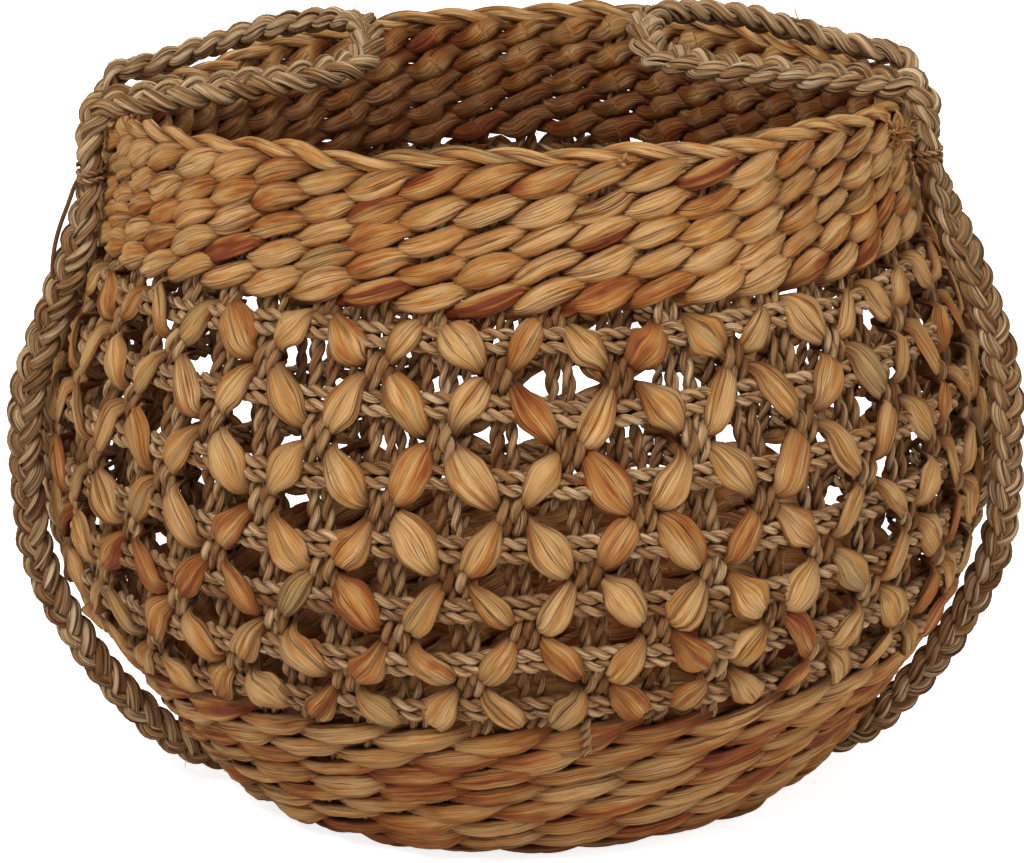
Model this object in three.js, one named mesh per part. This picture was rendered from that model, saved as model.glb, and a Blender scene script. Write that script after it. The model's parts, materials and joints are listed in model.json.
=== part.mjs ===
// Belly-shaped seagrass basket with an openwork lattice wall and two rope handles.
// Millimetres, +Z up. The origin is the middle of the base, on the resting surface.
//
// The wall is woven on upright stakes of paired seagrass cord. Seven seagrass rounds lie in
// front of the stakes. On every round a zigzag strip of flat leaf climbs over the round in
// each gap and slips behind the next stake, so four leaves meet in a star behind a stake.
// A collar of thick rounds closes the neck, and a twined bowl closes the bottom.

import * as THREE from 'three';

// Overall form
const STAKES = 48;
const RIM_HEIGHT = 316.5;
const RIM_SADDLE = 6;
const SADDLE_START = 150;
const CLEARANCE = 0.3;

// Height and centre radius of the stakes, from the rim down to the bowl
const NECK_RADIUS = 171;
const COLLAR_FOOT_RADIUS = 178.5;
const SHOULDER_RADIUS = 192;
const UPPER_BELLY_RADIUS = 200;
const BELLY_RADIUS = 203;
const LOWER_BELLY_RADIUS = 200.5;
const BOWL_TOP_RADIUS = 187;
const BOWL_FOOT_RADIUS = 146;
const BELLY_HEIGHT = 151;
const STAKE_FOOT_HEIGHT = 26;
const SLOPE_REACH = 10;

// A stake is a pair of cords: flat in front, ridged behind
const STAKE_WIDTH = 8.4;
const STAKE_FRONT = 1.4;
const STAKE_BACK = 2.2;

// Collar
const RIM_STRAND_HEIGHT = 6.5;
const RIM_STRAND_WIDTH = 9;
const COLLAR_ROUNDS = 5;
const COLLAR_PITCH = 11;
const COLLAR_GAP = 0.5;
const COLLAR_THICKNESS = 3.6;

// Openwork rounds, two stacked cords each, as shares of the way from the collar down to the bowl
const ROUND_SHARES = [0.066, 0.2155, 0.3735, 0.526, 0.6665, 0.799, 0.9255];
const ROUND_CORD_HEIGHT = 8.6;
const ROUND_THICKNESS = 3.4;

// Leaf strips
const LEAF_WIDTH = 15;
const LEAF_THICKNESS = 2.6;
const LEAF_SHOULDER_THICKNESS = 1.8;
const LEAF_NODE_HEIGHT = 3.8;
const LEAF_NODE_THICKNESS = 1.6;
const LEAF_NODE_SPREAD = 2.25;
const LEAF_SHOULDER_AT = 8.4;
const LEAF_CROSSING = 0.6;

// Bowl and floor
const BOWL_HEIGHT = 81;
const BOWL_TOP_MARGIN = 4;
const BOWL_THICKNESS = 8.5;
const BOWL_ROUNDS = 7;
const BOWL_ROUND_BULGE = 3.6;
const BOWL_TWINE_DIP = 3;
const BOWL_HALF_BULGES = 72;
const BOWL_FOOT_WIDTH = 20;
const FLOOR_THICKNESS = 8;
const FLOOR_ROUNDS = 8;
const FLOOR_ROUND_BULGE = 2.6;
const FLOOR_SIDES = 36;

// Handles
const ROPE_WIDTH = 15;
const ROPE_THICKNESS = 12;
const ROPE_SPREAD = 38;
const ROPE_STAND_OFF = 6;
const ROPE_FOOT_ROUND = 1;
const HINGE_CLEARANCE = 0.4;
const LOOP_REACH = 118;
const LOOP_RISE = 15;
const REAR_LEG_LIFT = 13;
const TIE_DROP = 26.5;
const TIE_CORD = 2.4;
const TIE_SLACK = 1;

const collarFoot = RIM_HEIGHT - RIM_STRAND_HEIGHT - COLLAR_ROUNDS * COLLAR_PITCH;
const stakeTop = RIM_HEIGHT - RIM_STRAND_HEIGHT - CLEARANCE;
const roundHeights = ROUND_SHARES.map((share) => collarFoot - share * (collarFoot - BOWL_HEIGHT));
const [, shoulderHeight, upperBellyHeight, , , lowerBellyHeight] = roundHeights;
const stepAngle = (2 * Math.PI) / STAKES;

// Side view of the stakes as [height, radius] knots, lowest first
const stakeKnots = [
  [STAKE_FOOT_HEIGHT, BOWL_FOOT_RADIUS],
  [BOWL_HEIGHT + BOWL_TOP_MARGIN, BOWL_TOP_RADIUS],
  [lowerBellyHeight, LOWER_BELLY_RADIUS],
  [BELLY_HEIGHT, BELLY_RADIUS],
  [upperBellyHeight, UPPER_BELLY_RADIUS],
  [shoulderHeight, SHOULDER_RADIUS],
  [collarFoot, COLLAR_FOOT_RADIUS],
  [stakeTop, NECK_RADIUS],
];

function stakeRadius(z) {
  let upper = stakeKnots.findIndex((knot) => knot[0] >= z);
  if (upper < 1) upper = upper === 0 ? 1 : stakeKnots.length - 1;
  const [z0, r0] = stakeKnots[upper - 1];
  const [z1, r1] = stakeKnots[upper];
  return r0 + ((r1 - r0) * (z - z0)) / (z1 - z0);
}

// The rim is a shallow saddle: lower at the handles than at the front and the back
function saddle(angle, z) {
  const share = Math.max(0, (z - SADDLE_START) / (RIM_HEIGHT - SADDLE_START));
  return -RIM_SADDLE * share * Math.cos(2 * angle);
}

// A point at an angle and a height, moved out of the stakes' surface by depth and up along it by rise
function wallPoint(angle, z, depth, rise = 0) {
  const slope = (stakeRadius(z + SLOPE_REACH) - stakeRadius(z - SLOPE_REACH)) / (2 * SLOPE_REACH);
  const length = Math.hypot(1, slope);
  const radius = stakeRadius(z) + (depth + rise * slope) / length;
  const height = z + (rise - depth * slope) / length + saddle(angle, z);
  return new THREE.Vector3(radius * Math.cos(angle), radius * Math.sin(angle), height);
}

// Six times the volume between the two ways of splitting a quad into triangles
function foldVolume(a, b, c, d) {
  const toC = new THREE.Vector3().subVectors(c, a);
  const toD = new THREE.Vector3().subVectors(d, a);
  return new THREE.Vector3().subVectors(b, a).dot(toD.cross(toC));
}

// One closed skin over a row of sections that have the same number of corners. A twisted quad is
// folded outwards, so that a thin piece keeps its thickness
function skin(sections, closed) {
  const corners = sections[0].length;
  const count = sections.length;
  const points = sections.flat();
  const indices = [];
  const spans = closed ? count : count - 1;
  const turn = sectionTurn(sections);
  for (let s = 0; s < spans; s += 1) {
    const next = (s + 1) % count;
    for (let k = 0; k < corners; k += 1) {
      const after = (k + 1) % corners;
      const a = s * corners + k;
      const b = next * corners + k;
      const c = next * corners + after;
      const d = s * corners + after;
      if (turn * foldVolume(points[a], points[b], points[c], points[d]) > 0) {
        indices.push(a, b, c, a, c, d);
      } else {
        indices.push(a, b, d, b, c, d);
      }
    }
  }
  if (!closed) {
    const last = (count - 1) * corners;
    for (let c = 1; c < corners - 1; c += 1) {
      indices.push(0, c, c + 1);
      indices.push(last, last + c + 1, last + c);
    }
  }
  return facingOut(points, indices);
}

// 1 where the sections' corners run clockwise seen along the row, and -1 where anticlockwise
function sectionTurn(sections) {
  const [first, second] = sections;
  const ahead = new THREE.Vector3().subVectors(second[0], first[0]);
  const normal = new THREE.Vector3();
  first.forEach((corner, k) => {
    const after = first[(k + 1) % first.length];
    normal.add(new THREE.Vector3().crossVectors(corner, after));
  });
  return normal.dot(ahead) > 0 ? -1 : 1;
}

// Turns every face over if the skin encloses a negative volume
function facingOut(points, indices) {
  let volume = 0;
  for (let i = 0; i < indices.length; i += 3) {
    const [a, b, c] = [points[indices[i]], points[indices[i + 1]], points[indices[i + 2]]];
    volume += a.dot(new THREE.Vector3().crossVectors(b, c));
  }
  if (volume < 0) indices.reverse();
  const geometry = new THREE.BufferGeometry();
  geometry.setAttribute('position', new THREE.Float32BufferAttribute(points.flatMap((p) => p.toArray()), 3));
  geometry.setIndex(indices);
  geometry.computeVertexNormals();
  return geometry;
}

function material(color, roughness) {
  return new THREE.MeshStandardMaterial({ color, roughness, metalness: 0 });
}

const seagrass = material(0x9a8560, 0.85);
const paleLeaf = material(0xc08a52, 0.6);
const warmLeaf = material(0xb0713c, 0.6);
const darkLeaf = material(0x9c6636, 0.65);
const rope = material(0x8f7c5a, 0.85);

const basket = new THREE.Group();

function addPiece(parent, name, geometry, finish) {
  const mesh = new THREE.Mesh(geometry, finish);
  mesh.name = name;
  parent.add(mesh);
}

// Stakes: one folded cord pair makes two neighbouring stakes and turns round inside the bowl

function stakeSection(angle, z, outerSide) {
  const half = (outerSide * STAKE_WIDTH) / 2 / stakeRadius(z);
  return [
    wallPoint(angle + half, z, STAKE_FRONT),
    wallPoint(angle - half, z, STAKE_FRONT),
    wallPoint(angle, z, -STAKE_BACK),
  ];
}

function stakeTurn(angle) {
  const drop = (BOWL_FOOT_RADIUS * stepAngle) / 2;
  const z = STAKE_FOOT_HEIGHT - drop;
  return [
    wallPoint(angle, z - STAKE_WIDTH / 2, STAKE_FRONT),
    wallPoint(angle, z + STAKE_WIDTH / 2, STAKE_FRONT),
    wallPoint(angle, z, -STAKE_BACK),
  ];
}

function stakePair(first) {
  const angleA = first * stepAngle;
  const angleB = (first + 1) * stepAngle;
  const heights = stakeKnots.map((knot) => knot[0]);
  const down = [...heights].reverse().map((z) => stakeSection(angleA, z, -1));
  const up = heights.map((z) => stakeSection(angleB, z, 1));
  return skin([...down, stakeTurn((angleA + angleB) / 2), ...up], false);
}

const warp = new THREE.Group();
for (let pair = 0; pair < STAKES / 2; pair += 1) {
  addPiece(warp, `stake_pair_${pair + 1}`, stakePair(2 * pair), seagrass);
}
basket.add(warp);

// Openwork rounds: flat against the stakes, ridged in front

// A ring of straight spans lies closer to a stake's edges than to its middle
const edgeDrop = (STAKE_WIDTH / 2) * Math.sin(stepAngle / 2);
const roundBack = STAKE_FRONT + CLEARANCE + edgeDrop;
const roundFront = roundBack + ROUND_THICKNESS;

function openworkRound(z) {
  const sections = [];
  for (let i = 0; i < STAKES; i += 1) {
    const angle = i * stepAngle;
    sections.push([
      wallPoint(angle, z, roundBack, ROUND_CORD_HEIGHT / 2),
      wallPoint(angle, z, roundBack, -ROUND_CORD_HEIGHT / 2),
      wallPoint(angle, z, roundFront),
    ]);
  }
  return skin(sections, true);
}

const lattice = new THREE.Group();
roundHeights.forEach((z, row) => {
  addPiece(lattice, `openwork_round_${row + 1}`, openworkRound(z), seagrass);
});

// Leaf strips: over the round in every gap, behind every stake, up and down in turn

const roundEdge = ROUND_CORD_HEIGHT / 2 + 1.4 * CLEARANCE;
const leafShoulderBack = roundFront - CLEARANCE;
const leafMiddleBack = roundFront + 4 * CLEARANCE;
const leafShoulderRidge = leafShoulderBack + LEAF_SHOULDER_THICKNESS;

// Height of the star above or below a round, measured from the round
function nodeOffset(row, side) {
  const z = roundHeights[row];
  const half = ROUND_CORD_HEIGHT / 2;
  if (side > 0) {
    if (row === 0) return (half + collarFoot - z) / 2;
    return (roundHeights[row - 1] - z) / 2 - LEAF_NODE_SPREAD;
  }
  if (row === roundHeights.length - 1) return (half + z - BOWL_HEIGHT) / 2;
  return (z - roundHeights[row + 1]) / 2 - LEAF_NODE_SPREAD;
}

// Depth behind a stake, on a straight line that passes the stake's front edge and ends on the shoulder
function nodeRidgeDepth() {
  const edgeAt = STAKE_WIDTH / 2 + CLEARANCE;
  const edgeDepth = STAKE_FRONT - CLEARANCE;
  const slope = (leafShoulderRidge - edgeDepth) / (LEAF_SHOULDER_AT - edgeAt);
  return edgeDepth - slope * edgeAt;
}

function leafNode(angle, z) {
  const ridge = nodeRidgeDepth();
  const half = LEAF_NODE_HEIGHT / 2;
  return [
    wallPoint(angle, z + half, ridge - LEAF_NODE_THICKNESS),
    wallPoint(angle, z - half, ridge - LEAF_NODE_THICKNESS),
    wallPoint(angle, z, ridge),
  ];
}

// Where a leaf clears the round's edge. Side is 1 above the round and -1 below it
function leafShoulder(angle, row, side) {
  const z = roundHeights[row];
  const near = side * roundEdge;
  const far = side * (nodeOffset(row, side) + LEAF_NODE_SPREAD - 1.5 * CLEARANCE);
  return [
    wallPoint(angle, z, leafShoulderBack, Math.max(near, far)),
    wallPoint(angle, z, leafShoulderBack, Math.min(near, far)),
    wallPoint(angle, z, leafShoulderRidge, (near + far) / 2),
  ];
}

// Widest section, square to the leaf's slant as it crosses the round. Lean is 1 on a falling leaf
function leafMiddle(angle, row, lean) {
  const z = roundHeights[row];
  const radius = stakeRadius(z);
  const drop = nodeOffset(row, 1) + nodeOffset(row, -1);
  const run = LEAF_CROSSING * stepAngle * radius;
  const length = Math.hypot(drop, run);
  const along = ((LEAF_WIDTH / 2) * drop * lean) / length / radius;
  const up = ((LEAF_WIDTH / 2) * run) / length;
  return [
    wallPoint(angle + along, z, leafMiddleBack, up),
    wallPoint(angle - along, z, leafMiddleBack, -up),
    wallPoint(angle, z, leafMiddleBack + LEAF_THICKNESS),
  ];
}

function leafStrip(row) {
  const z = roundHeights[row];
  const shoulderAngle = LEAF_SHOULDER_AT / stakeRadius(z);
  const sections = [];
  for (let i = 0; i < STAKES; i += 1) {
    const angle = i * stepAngle;
    const side = (i + row) % 2 === 1 ? 1 : -1;
    sections.push(leafNode(angle, z + side * nodeOffset(row, side)));
    sections.push(leafShoulder(angle + shoulderAngle, row, side));
    sections.push(leafMiddle(angle + stepAngle / 2, row, side));
    sections.push(leafShoulder(angle + stepAngle - shoulderAngle, row, -side));
  }
  return skin(sections, true);
}

roundHeights.forEach((z, row) => {
  addPiece(lattice, `leaf_strip_${row + 1}`, leafStrip(row), row % 2 ? warmLeaf : paleLeaf);
});
basket.add(lattice);

// Collar: each round passes in front of one stake and behind the next, and neighbours alternate

// A round slants from one stake to the next, so it stands off enough to clear the stake's edge
const collarBehindBack = -STAKE_BACK - 2 * CLEARANCE - COLLAR_THICKNESS;
const edgeShare = STAKE_WIDTH / 2 / (stepAngle * NECK_RADIUS);
const collarFrontBack = (roundBack + CLEARANCE - edgeShare * collarBehindBack) / (1 - edgeShare);

function collarRound(row) {
  const top = RIM_HEIGHT - RIM_STRAND_HEIGHT - row * COLLAR_PITCH - COLLAR_GAP / 2;
  const bottom = top - COLLAR_PITCH + COLLAR_GAP;
  const sections = [];
  for (let i = 0; i < STAKES; i += 1) {
    const angle = i * stepAngle;
    const back = (i + row) % 2 === 0 ? collarFrontBack : collarBehindBack;
    sections.push([
      wallPoint(angle, top, back),
      wallPoint(angle, bottom, back),
      wallPoint(angle, (top + bottom) / 2, back + COLLAR_THICKNESS),
    ]);
  }
  return skin(sections, true);
}

const collar = new THREE.Group();
for (let row = 0; row < COLLAR_ROUNDS; row += 1) {
  addPiece(collar, `collar_round_${row + 1}`, collarRound(row), row % 2 ? paleLeaf : warmLeaf);
}

function rimStrand() {
  const sections = [];
  const bottom = RIM_HEIGHT - RIM_STRAND_HEIGHT;
  const middle = (RIM_HEIGHT + bottom) / 2;
  const half = RIM_STRAND_WIDTH / 2;
  for (let i = 0; i < STAKES; i += 1) {
    const angle = (i + 0.5) * stepAngle;
    sections.push([
      wallPoint(angle, RIM_HEIGHT, 0),
      wallPoint(angle, middle, -half),
      wallPoint(angle, bottom, 0),
      wallPoint(angle, middle, half),
    ]);
  }
  return skin(sections, true);
}

addPiece(collar, 'rim_strand', rimStrand(), paleLeaf);
basket.add(collar);

// Bowl: twined rounds outside, the stakes' feet inside, and a round floor set into its foot

// Depths square to the slanting wall become wider ones when they are measured level
const bowlSlope = (BOWL_TOP_RADIUS - BOWL_FOOT_RADIUS) / (BOWL_HEIGHT + BOWL_TOP_MARGIN - STAKE_FOOT_HEIGHT);
const levelShare = Math.hypot(1, bowlSlope);
const bowlInnerDepth = roundBack * levelShare;
const bowlOuterDepth = bowlInnerDepth + (BOWL_THICKNESS - BOWL_ROUND_BULGE) * levelShare;
const bowlRidgeDepth = bowlInnerDepth + BOWL_THICKNESS * levelShare;
const bowlPitch = BOWL_HEIGHT / BOWL_ROUNDS;
const bowlRidgeHeight = (i) => (i + 0.5) * bowlPitch;
const floorRadius = stakeRadius(0) + bowlInnerDepth - BOWL_FOOT_WIDTH;

// A round bulges at every second half bulge and dips between, and the next round the other way
function bowlProfile(halfBulge) {
  const wall = (z, depth) => new THREE.Vector2(stakeRadius(z) + depth, z);
  const profile = [];
  profile.push(new THREE.Vector2(floorRadius + CLEARANCE, 0));
  profile.push(wall(0, 0));
  for (let i = 0; i < BOWL_ROUNDS; i += 1) {
    const dip = (halfBulge + i) % 2 === 0 ? 0 : BOWL_TWINE_DIP * levelShare;
    profile.push(wall(bowlRidgeHeight(i), bowlRidgeDepth - dip));
    if (i < BOWL_ROUNDS - 1) profile.push(wall((i + 1) * bowlPitch, bowlOuterDepth));
  }
  profile.push(wall(BOWL_HEIGHT, bowlOuterDepth));
  profile.push(wall(BOWL_HEIGHT, bowlInnerDepth));
  profile.push(wall(FLOOR_THICKNESS, bowlInnerDepth));
  profile.push(new THREE.Vector2(floorRadius + CLEARANCE, FLOOR_THICKNESS));
  return profile;
}

function bowl() {
  const sections = [];
  for (let i = 0; i < BOWL_HALF_BULGES; i += 1) {
    const angle = (i * 2 * Math.PI) / BOWL_HALF_BULGES;
    sections.push(bowlProfile(i).map((p) => new THREE.Vector3(p.x * Math.cos(angle), p.x * Math.sin(angle), p.y)));
  }
  return skin(sections, true);
}

addPiece(basket, 'base_bowl', bowl(), darkLeaf);

function floorRing(radius, z) {
  return Array.from({ length: FLOOR_SIDES }, (_, k) => {
    const angle = (k * 2 * Math.PI) / FLOOR_SIDES;
    return new THREE.Vector3(radius * Math.cos(angle), radius * Math.sin(angle), z);
  });
}

// Flat below, with the ridges of its rounds on top
function floorDisc() {
  const valley = FLOOR_THICKNESS - FLOOR_ROUND_BULGE;
  const pitch = floorRadius / FLOOR_ROUNDS;
  const rings = [floorRing(floorRadius, 0), floorRing(floorRadius, valley)];
  for (let i = FLOOR_ROUNDS; i > 1; i -= 1) {
    rings.push(floorRing((i - 0.5) * pitch, FLOOR_THICKNESS));
    rings.push(floorRing((i - 1) * pitch, valley));
  }
  rings.push(floorRing(pitch / 2, FLOOR_THICKNESS));
  return skin(rings, false);
}

addPiece(basket, 'base_floor', floorDisc(), darkLeaf);

// Handles: two side ropes rise over the belly on each side, and a loop swings between their tops

// Half section of the braid, as offsets across its width and its thickness
const braidOutline = [
  [0.5, 0],
  [0.28, 0.5],
  [-0.28, 0.5],
  [-0.5, 0],
  [-0.28, -0.5],
  [0.28, -0.5],
];

// The braid's outline round a point, its width and thickness along two directions
function braidSection(point, across, out) {
  return braidOutline.map(([w, t]) => point.clone()
    .addScaledVector(across, w * ROPE_WIDTH)
    .addScaledVector(out, t * ROPE_THICKNESS));
}

const collarFront = collarFrontBack + COLLAR_THICKNESS;
const leafFront = leafMiddleBack + LEAF_THICKNESS;
const bowlFront = bowlRidgeDepth / levelShare;
const rimRadius = NECK_RADIUS + RIM_STRAND_WIDTH / 2;
const ropeAngle = Math.asin(ROPE_SPREAD / (NECK_RADIUS + collarFront + ROPE_THICKNESS / 2));
const ropeOuterAngle = Math.asin((ROPE_SPREAD + ROPE_WIDTH / 2) / rimRadius);
const hingeRadius = NECK_RADIUS + collarFront + CLEARANCE;
const hingeHeight = RIM_HEIGHT + saddle(ropeOuterAngle, RIM_HEIGHT) + CLEARANCE + ROPE_THICKNESS / 2;
const tieRoom = TIE_SLACK + TIE_CORD / 2 + CLEARANCE;
const tieHeight = RIM_HEIGHT - TIE_DROP;

// The height on the stakes that lies square behind a ridge of the bowl
const behindRidge = (i) => bowlRidgeHeight(i) + (bowlRidgeDepth * bowlSlope) / levelShare ** 2;

// Height on the stakes, surface that the rope passes there, and how far the rope stands off it
const ropeKnots = [
  [tieHeight, collarFront, tieRoom],
  [collarFoot, collarFront, tieRoom],
  [shoulderHeight, leafFront, ROPE_STAND_OFF / 2],
  [upperBellyHeight, leafFront, ROPE_STAND_OFF],
  [BELLY_HEIGHT, leafFront, ROPE_STAND_OFF],
  [lowerBellyHeight, leafFront, ROPE_STAND_OFF],
  [BOWL_HEIGHT, bowlFront, ROPE_STAND_OFF / 2],
  [behindRidge(ROPE_FOOT_ROUND + 1), bowlFront, 2 * CLEARANCE],
  [behindRidge(ROPE_FOOT_ROUND), bowlFront, CLEARANCE],
];

// Middle line of a side rope, from the hinge down
function ropeRoute(side, end) {
  const points = ropeKnots.map(([z, surface, standOff]) => {
    const depth = surface + standOff + ROPE_THICKNESS / 2;
    return wallPoint(end * ropeAngle, z, depth);
  });
  const top = hingeHeight - ROPE_THICKNESS / 2 - HINGE_CLEARANCE;
  points.unshift(new THREE.Vector3(hingeRadius + ROPE_THICKNESS / 4, end * ROPE_SPREAD, top));
  points.forEach((p) => p.setX(side * p.x));
  return points;
}

// Directions at a point of the route: along it, across the braid and out of the basket
function ropeDirections(points, i) {
  const before = points[Math.max(0, i - 1)];
  const after = points[Math.min(points.length - 1, i + 1)];
  const down = new THREE.Vector3(0, 0, -1);
  const along = i === 0 ? down : new THREE.Vector3().subVectors(after, before).normalize();
  const across = new THREE.Vector3(0, 1, 0);
  across.addScaledVector(along, -across.dot(along)).normalize();
  return { along, across, out: new THREE.Vector3().crossVectors(along, across) };
}

function sideRope(side, end) {
  const points = ropeRoute(side, end);
  const sections = points.map((point, i) => {
    const { across, out } = ropeDirections(points, i);
    return braidSection(point, across, out);
  });
  return skin(sections, false);
}

// Half of the loop from above: share of the reach, share of the spread, share of the rise
const loopHalf = [
  [0, 1, 0],
  [0.12, 1, 0.02],
  [0.4, 1.02, 0.35],
  [0.66, 0.96, 0.55],
  [0.86, 0.78, 0.7],
  [0.98, 0.36, 0.85],
];

// The loop lies inwards over the mouth at rest, with its rear leg arched a little higher
function handleLoop(side) {
  const place = ([reach, spread, rise], end) => {
    const arch = end > 0 ? REAR_LEG_LIFT * Math.sin((Math.PI * reach) / 1.2) : 0;
    const x = side * (hingeRadius - reach * LOOP_REACH);
    return new THREE.Vector3(x, end * spread * ROPE_SPREAD, hingeHeight + rise * LOOP_RISE + arch);
  };
  const front = loopHalf.map((knot) => place(knot, -1));
  const rear = [...loopHalf].reverse().map((knot) => place(knot, 1));
  const points = [...front, place([1, 0, 1], 1), ...rear];
  const up = new THREE.Vector3(0, 0, 1);
  const sections = points.map((point, i) => {
    const ahead = points[i + 1] ?? point.clone().setX(point.x + side);
    const behind = points[i - 1] ?? point.clone().setX(point.x + side);
    const run = new THREE.Vector3().subVectors(ahead, behind).setZ(0);
    if (i === 0 || i === points.length - 1) run.setY(0);
    return braidSection(point, run.cross(up).normalize(), up);
  });
  return skin(sections, false);
}

// A twine tie goes round the rope and lies between the rope and the collar
function ropeTie(side, end) {
  const points = ropeRoute(side, end);
  const { along, across, out } = ropeDirections(points, 1);
  const sections = braidOutline.map(([w, t]) => {
    const corner = across.clone().multiplyScalar(w * ROPE_WIDTH).addScaledVector(out, t * ROPE_THICKNESS);
    const away = corner.clone().normalize();
    const place = (distance, drop) => points[1].clone()
      .add(corner)
      .addScaledVector(away, distance)
      .addScaledVector(along, drop);
    const outside = TIE_SLACK + TIE_CORD / 2;
    return [place(TIE_SLACK, 0), place(outside, -TIE_CORD), place(outside, TIE_CORD)];
  });
  return skin(sections, true);
}

const handles = new THREE.Group();
for (const [side, sideName] of [[-1, 'left'], [1, 'right']]) {
  for (const [end, endName] of [[-1, 'front'], [1, 'rear']]) {
    addPiece(handles, `${sideName}_${endName}_side_rope`, sideRope(side, end), rope);
    addPiece(handles, `${sideName}_${endName}_tie`, ropeTie(side, end), seagrass);
  }
  addPiece(handles, `${sideName}_handle_loop`, handleLoop(side), rope);
}
basket.add(handles);

export default basket;
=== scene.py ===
# %% [markdown]
# # A belly-shaped seagrass basket with an openwork wall
#
# The real basket is woven by hand on 48 upright stakes. Each stake is a pair of thin seagrass
# cords. Flat leaves of water hyacinth make everything that looks golden: the thick twined
# collar and base, and the leaves that climb over the seagrass rounds of the open wall.
# The construction comes from the frame. This script makes what the eye sees, from the camera
# to the last loose fibre, and every piece but the two handle ropes rides on a body of the frame.

import bpy
import json
import math
import numpy as np
from mathutils import Matrix, Vector


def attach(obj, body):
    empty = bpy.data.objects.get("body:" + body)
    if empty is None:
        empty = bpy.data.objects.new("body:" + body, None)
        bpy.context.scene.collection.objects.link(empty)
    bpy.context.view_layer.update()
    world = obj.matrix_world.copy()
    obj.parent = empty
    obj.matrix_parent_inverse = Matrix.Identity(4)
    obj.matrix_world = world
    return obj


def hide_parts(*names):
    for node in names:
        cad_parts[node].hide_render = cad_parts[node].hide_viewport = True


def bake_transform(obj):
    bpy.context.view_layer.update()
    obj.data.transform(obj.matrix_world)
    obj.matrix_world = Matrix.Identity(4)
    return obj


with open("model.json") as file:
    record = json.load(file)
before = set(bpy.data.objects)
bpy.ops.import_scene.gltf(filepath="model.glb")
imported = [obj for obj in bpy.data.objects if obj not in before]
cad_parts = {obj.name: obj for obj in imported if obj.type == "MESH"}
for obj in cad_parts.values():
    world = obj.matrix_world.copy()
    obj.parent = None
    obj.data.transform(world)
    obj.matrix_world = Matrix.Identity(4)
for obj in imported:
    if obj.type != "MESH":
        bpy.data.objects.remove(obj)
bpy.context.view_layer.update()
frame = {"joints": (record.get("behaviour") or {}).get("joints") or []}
MM = 0.001
rng = np.random.default_rng(48)

# %% [markdown]
# ## The camera
#
# A camera can be found from the photograph alone, because a basket's rounds are circles. How
# round or flat their ellipses look gives the height of the view, and the shift from the front
# edge to the back edge gives the distance. The numbers below came from such a fit: a long
# lens, about 15 degrees above level, leaning a little to one side.

# %% Camera at the photograph's viewing angle
IMAGE_WIDTH_PX = 1024
SENSOR_MM = 36
FOCAL_PX = 3928
VIEW_ELEVATION = math.radians(15.54)
VIEW_ROLL = math.radians(1.38)
VIEW_DISTANCE = 1.785
VIEW_TARGET = Vector((-0.0018, 0.0, 0.156))


def photo_camera():
    back = Vector((0, -math.cos(VIEW_ELEVATION), math.sin(VIEW_ELEVATION)))
    right = Vector((1, 0, 0))
    up = back.cross(right)
    rolled_right = right * math.cos(VIEW_ROLL) - up * math.sin(VIEW_ROLL)
    rolled_up = right * math.sin(VIEW_ROLL) + up * math.cos(VIEW_ROLL)
    data = bpy.data.cameras.new("photo_camera")
    data.sensor_width = SENSOR_MM
    data.lens = FOCAL_PX * SENSOR_MM / IMAGE_WIDTH_PX
    data.clip_end = 20
    camera = bpy.data.objects.new("photo_camera", data)
    turn = Matrix((rolled_right, rolled_up, back)).transposed().to_4x4()
    camera.matrix_world = Matrix.Translation(VIEW_TARGET + back * VIEW_DISTANCE) @ turn
    bpy.context.scene.collection.objects.link(camera)
    bpy.context.scene.camera = camera
    return camera


camera = photo_camera()
print("lens", round(camera.data.lens, 1), "mm")

# %% [markdown]
# ## The shell
#
# Every strand of the basket lies on one turned surface, so one function places them all. The
# surface is the middle of the stakes: a side profile from the floor's centre out and up to the
# rim, turned about the Z axis. A strand says where it is by its angle, its distance along the
# profile, and its depth off the surface. The profile is a smooth curve through a few knots,
# the same heights and radii that the frame's stakes have.

# %% Side profile of the stakes, in mm
STAKES = 48
RIM_HEIGHT = 316.5
RIM_SADDLE = 6
SADDLE_START = 150
FLOOR_MIDDLE = 4.4
FLAT_FLOOR_S = 90
PROFILE_KNOTS = [  # radius, height
    (0, FLOOR_MIDDLE),
    (40, FLOOR_MIDDLE),
    (80, FLOOR_MIDDLE),
    (112, FLOOR_MIDDLE + 0.3),
    (131, 10.5),
    (146, 26),
    (167, 54),
    (187, 85),
    (200, 116),
    (203, 151),
    (200.5, 190),
    (192.5, 217.5),
    (179, 255),
    (172.5, 285),
    (171, 318),
]
print("belly radius", max(radius for radius, height in PROFILE_KNOTS), "mm")


# %% A smooth curve through knots, in even steps
def smooth_through(knots, step=1.0):
    """Points every step along a smooth curve through the knots."""
    knots = np.asarray(knots, float)
    lengths = np.linalg.norm(np.diff(knots, axis=0), axis=1)
    at = np.concatenate([[0], np.cumsum(lengths)])
    slopes = np.stack([np.gradient(knots[:, k], at) for k in range(knots.shape[1])], 1)
    dense = np.linspace(0, at[-1], max(2, int(at[-1] / (0.25 * step))))
    i = np.clip(np.searchsorted(at, dense, side="right") - 1, 0, len(at) - 2)
    h = (at[i + 1] - at[i])[:, None]
    t = ((dense - at[i]) / (at[i + 1] - at[i]))[:, None]
    points = (
        (2 * t**3 - 3 * t**2 + 1) * knots[i]
        + (t**3 - 2 * t**2 + t) * h * slopes[i]
        + (3 * t**2 - 2 * t**3) * knots[i + 1]
        + (t**3 - t**2) * h * slopes[i + 1]
    )
    return even_steps(points, step)


def even_steps(points, step):
    """The same line with its points an equal step apart."""
    lengths = np.linalg.norm(np.diff(points, axis=0), axis=1)
    run = np.concatenate([[0], np.cumsum(lengths)])
    at = np.linspace(0, run[-1], max(2, int(round(run[-1] / step)) + 1))
    return np.stack([np.interp(at, run, points[:, k]) for k in range(points.shape[1])], 1)


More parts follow.
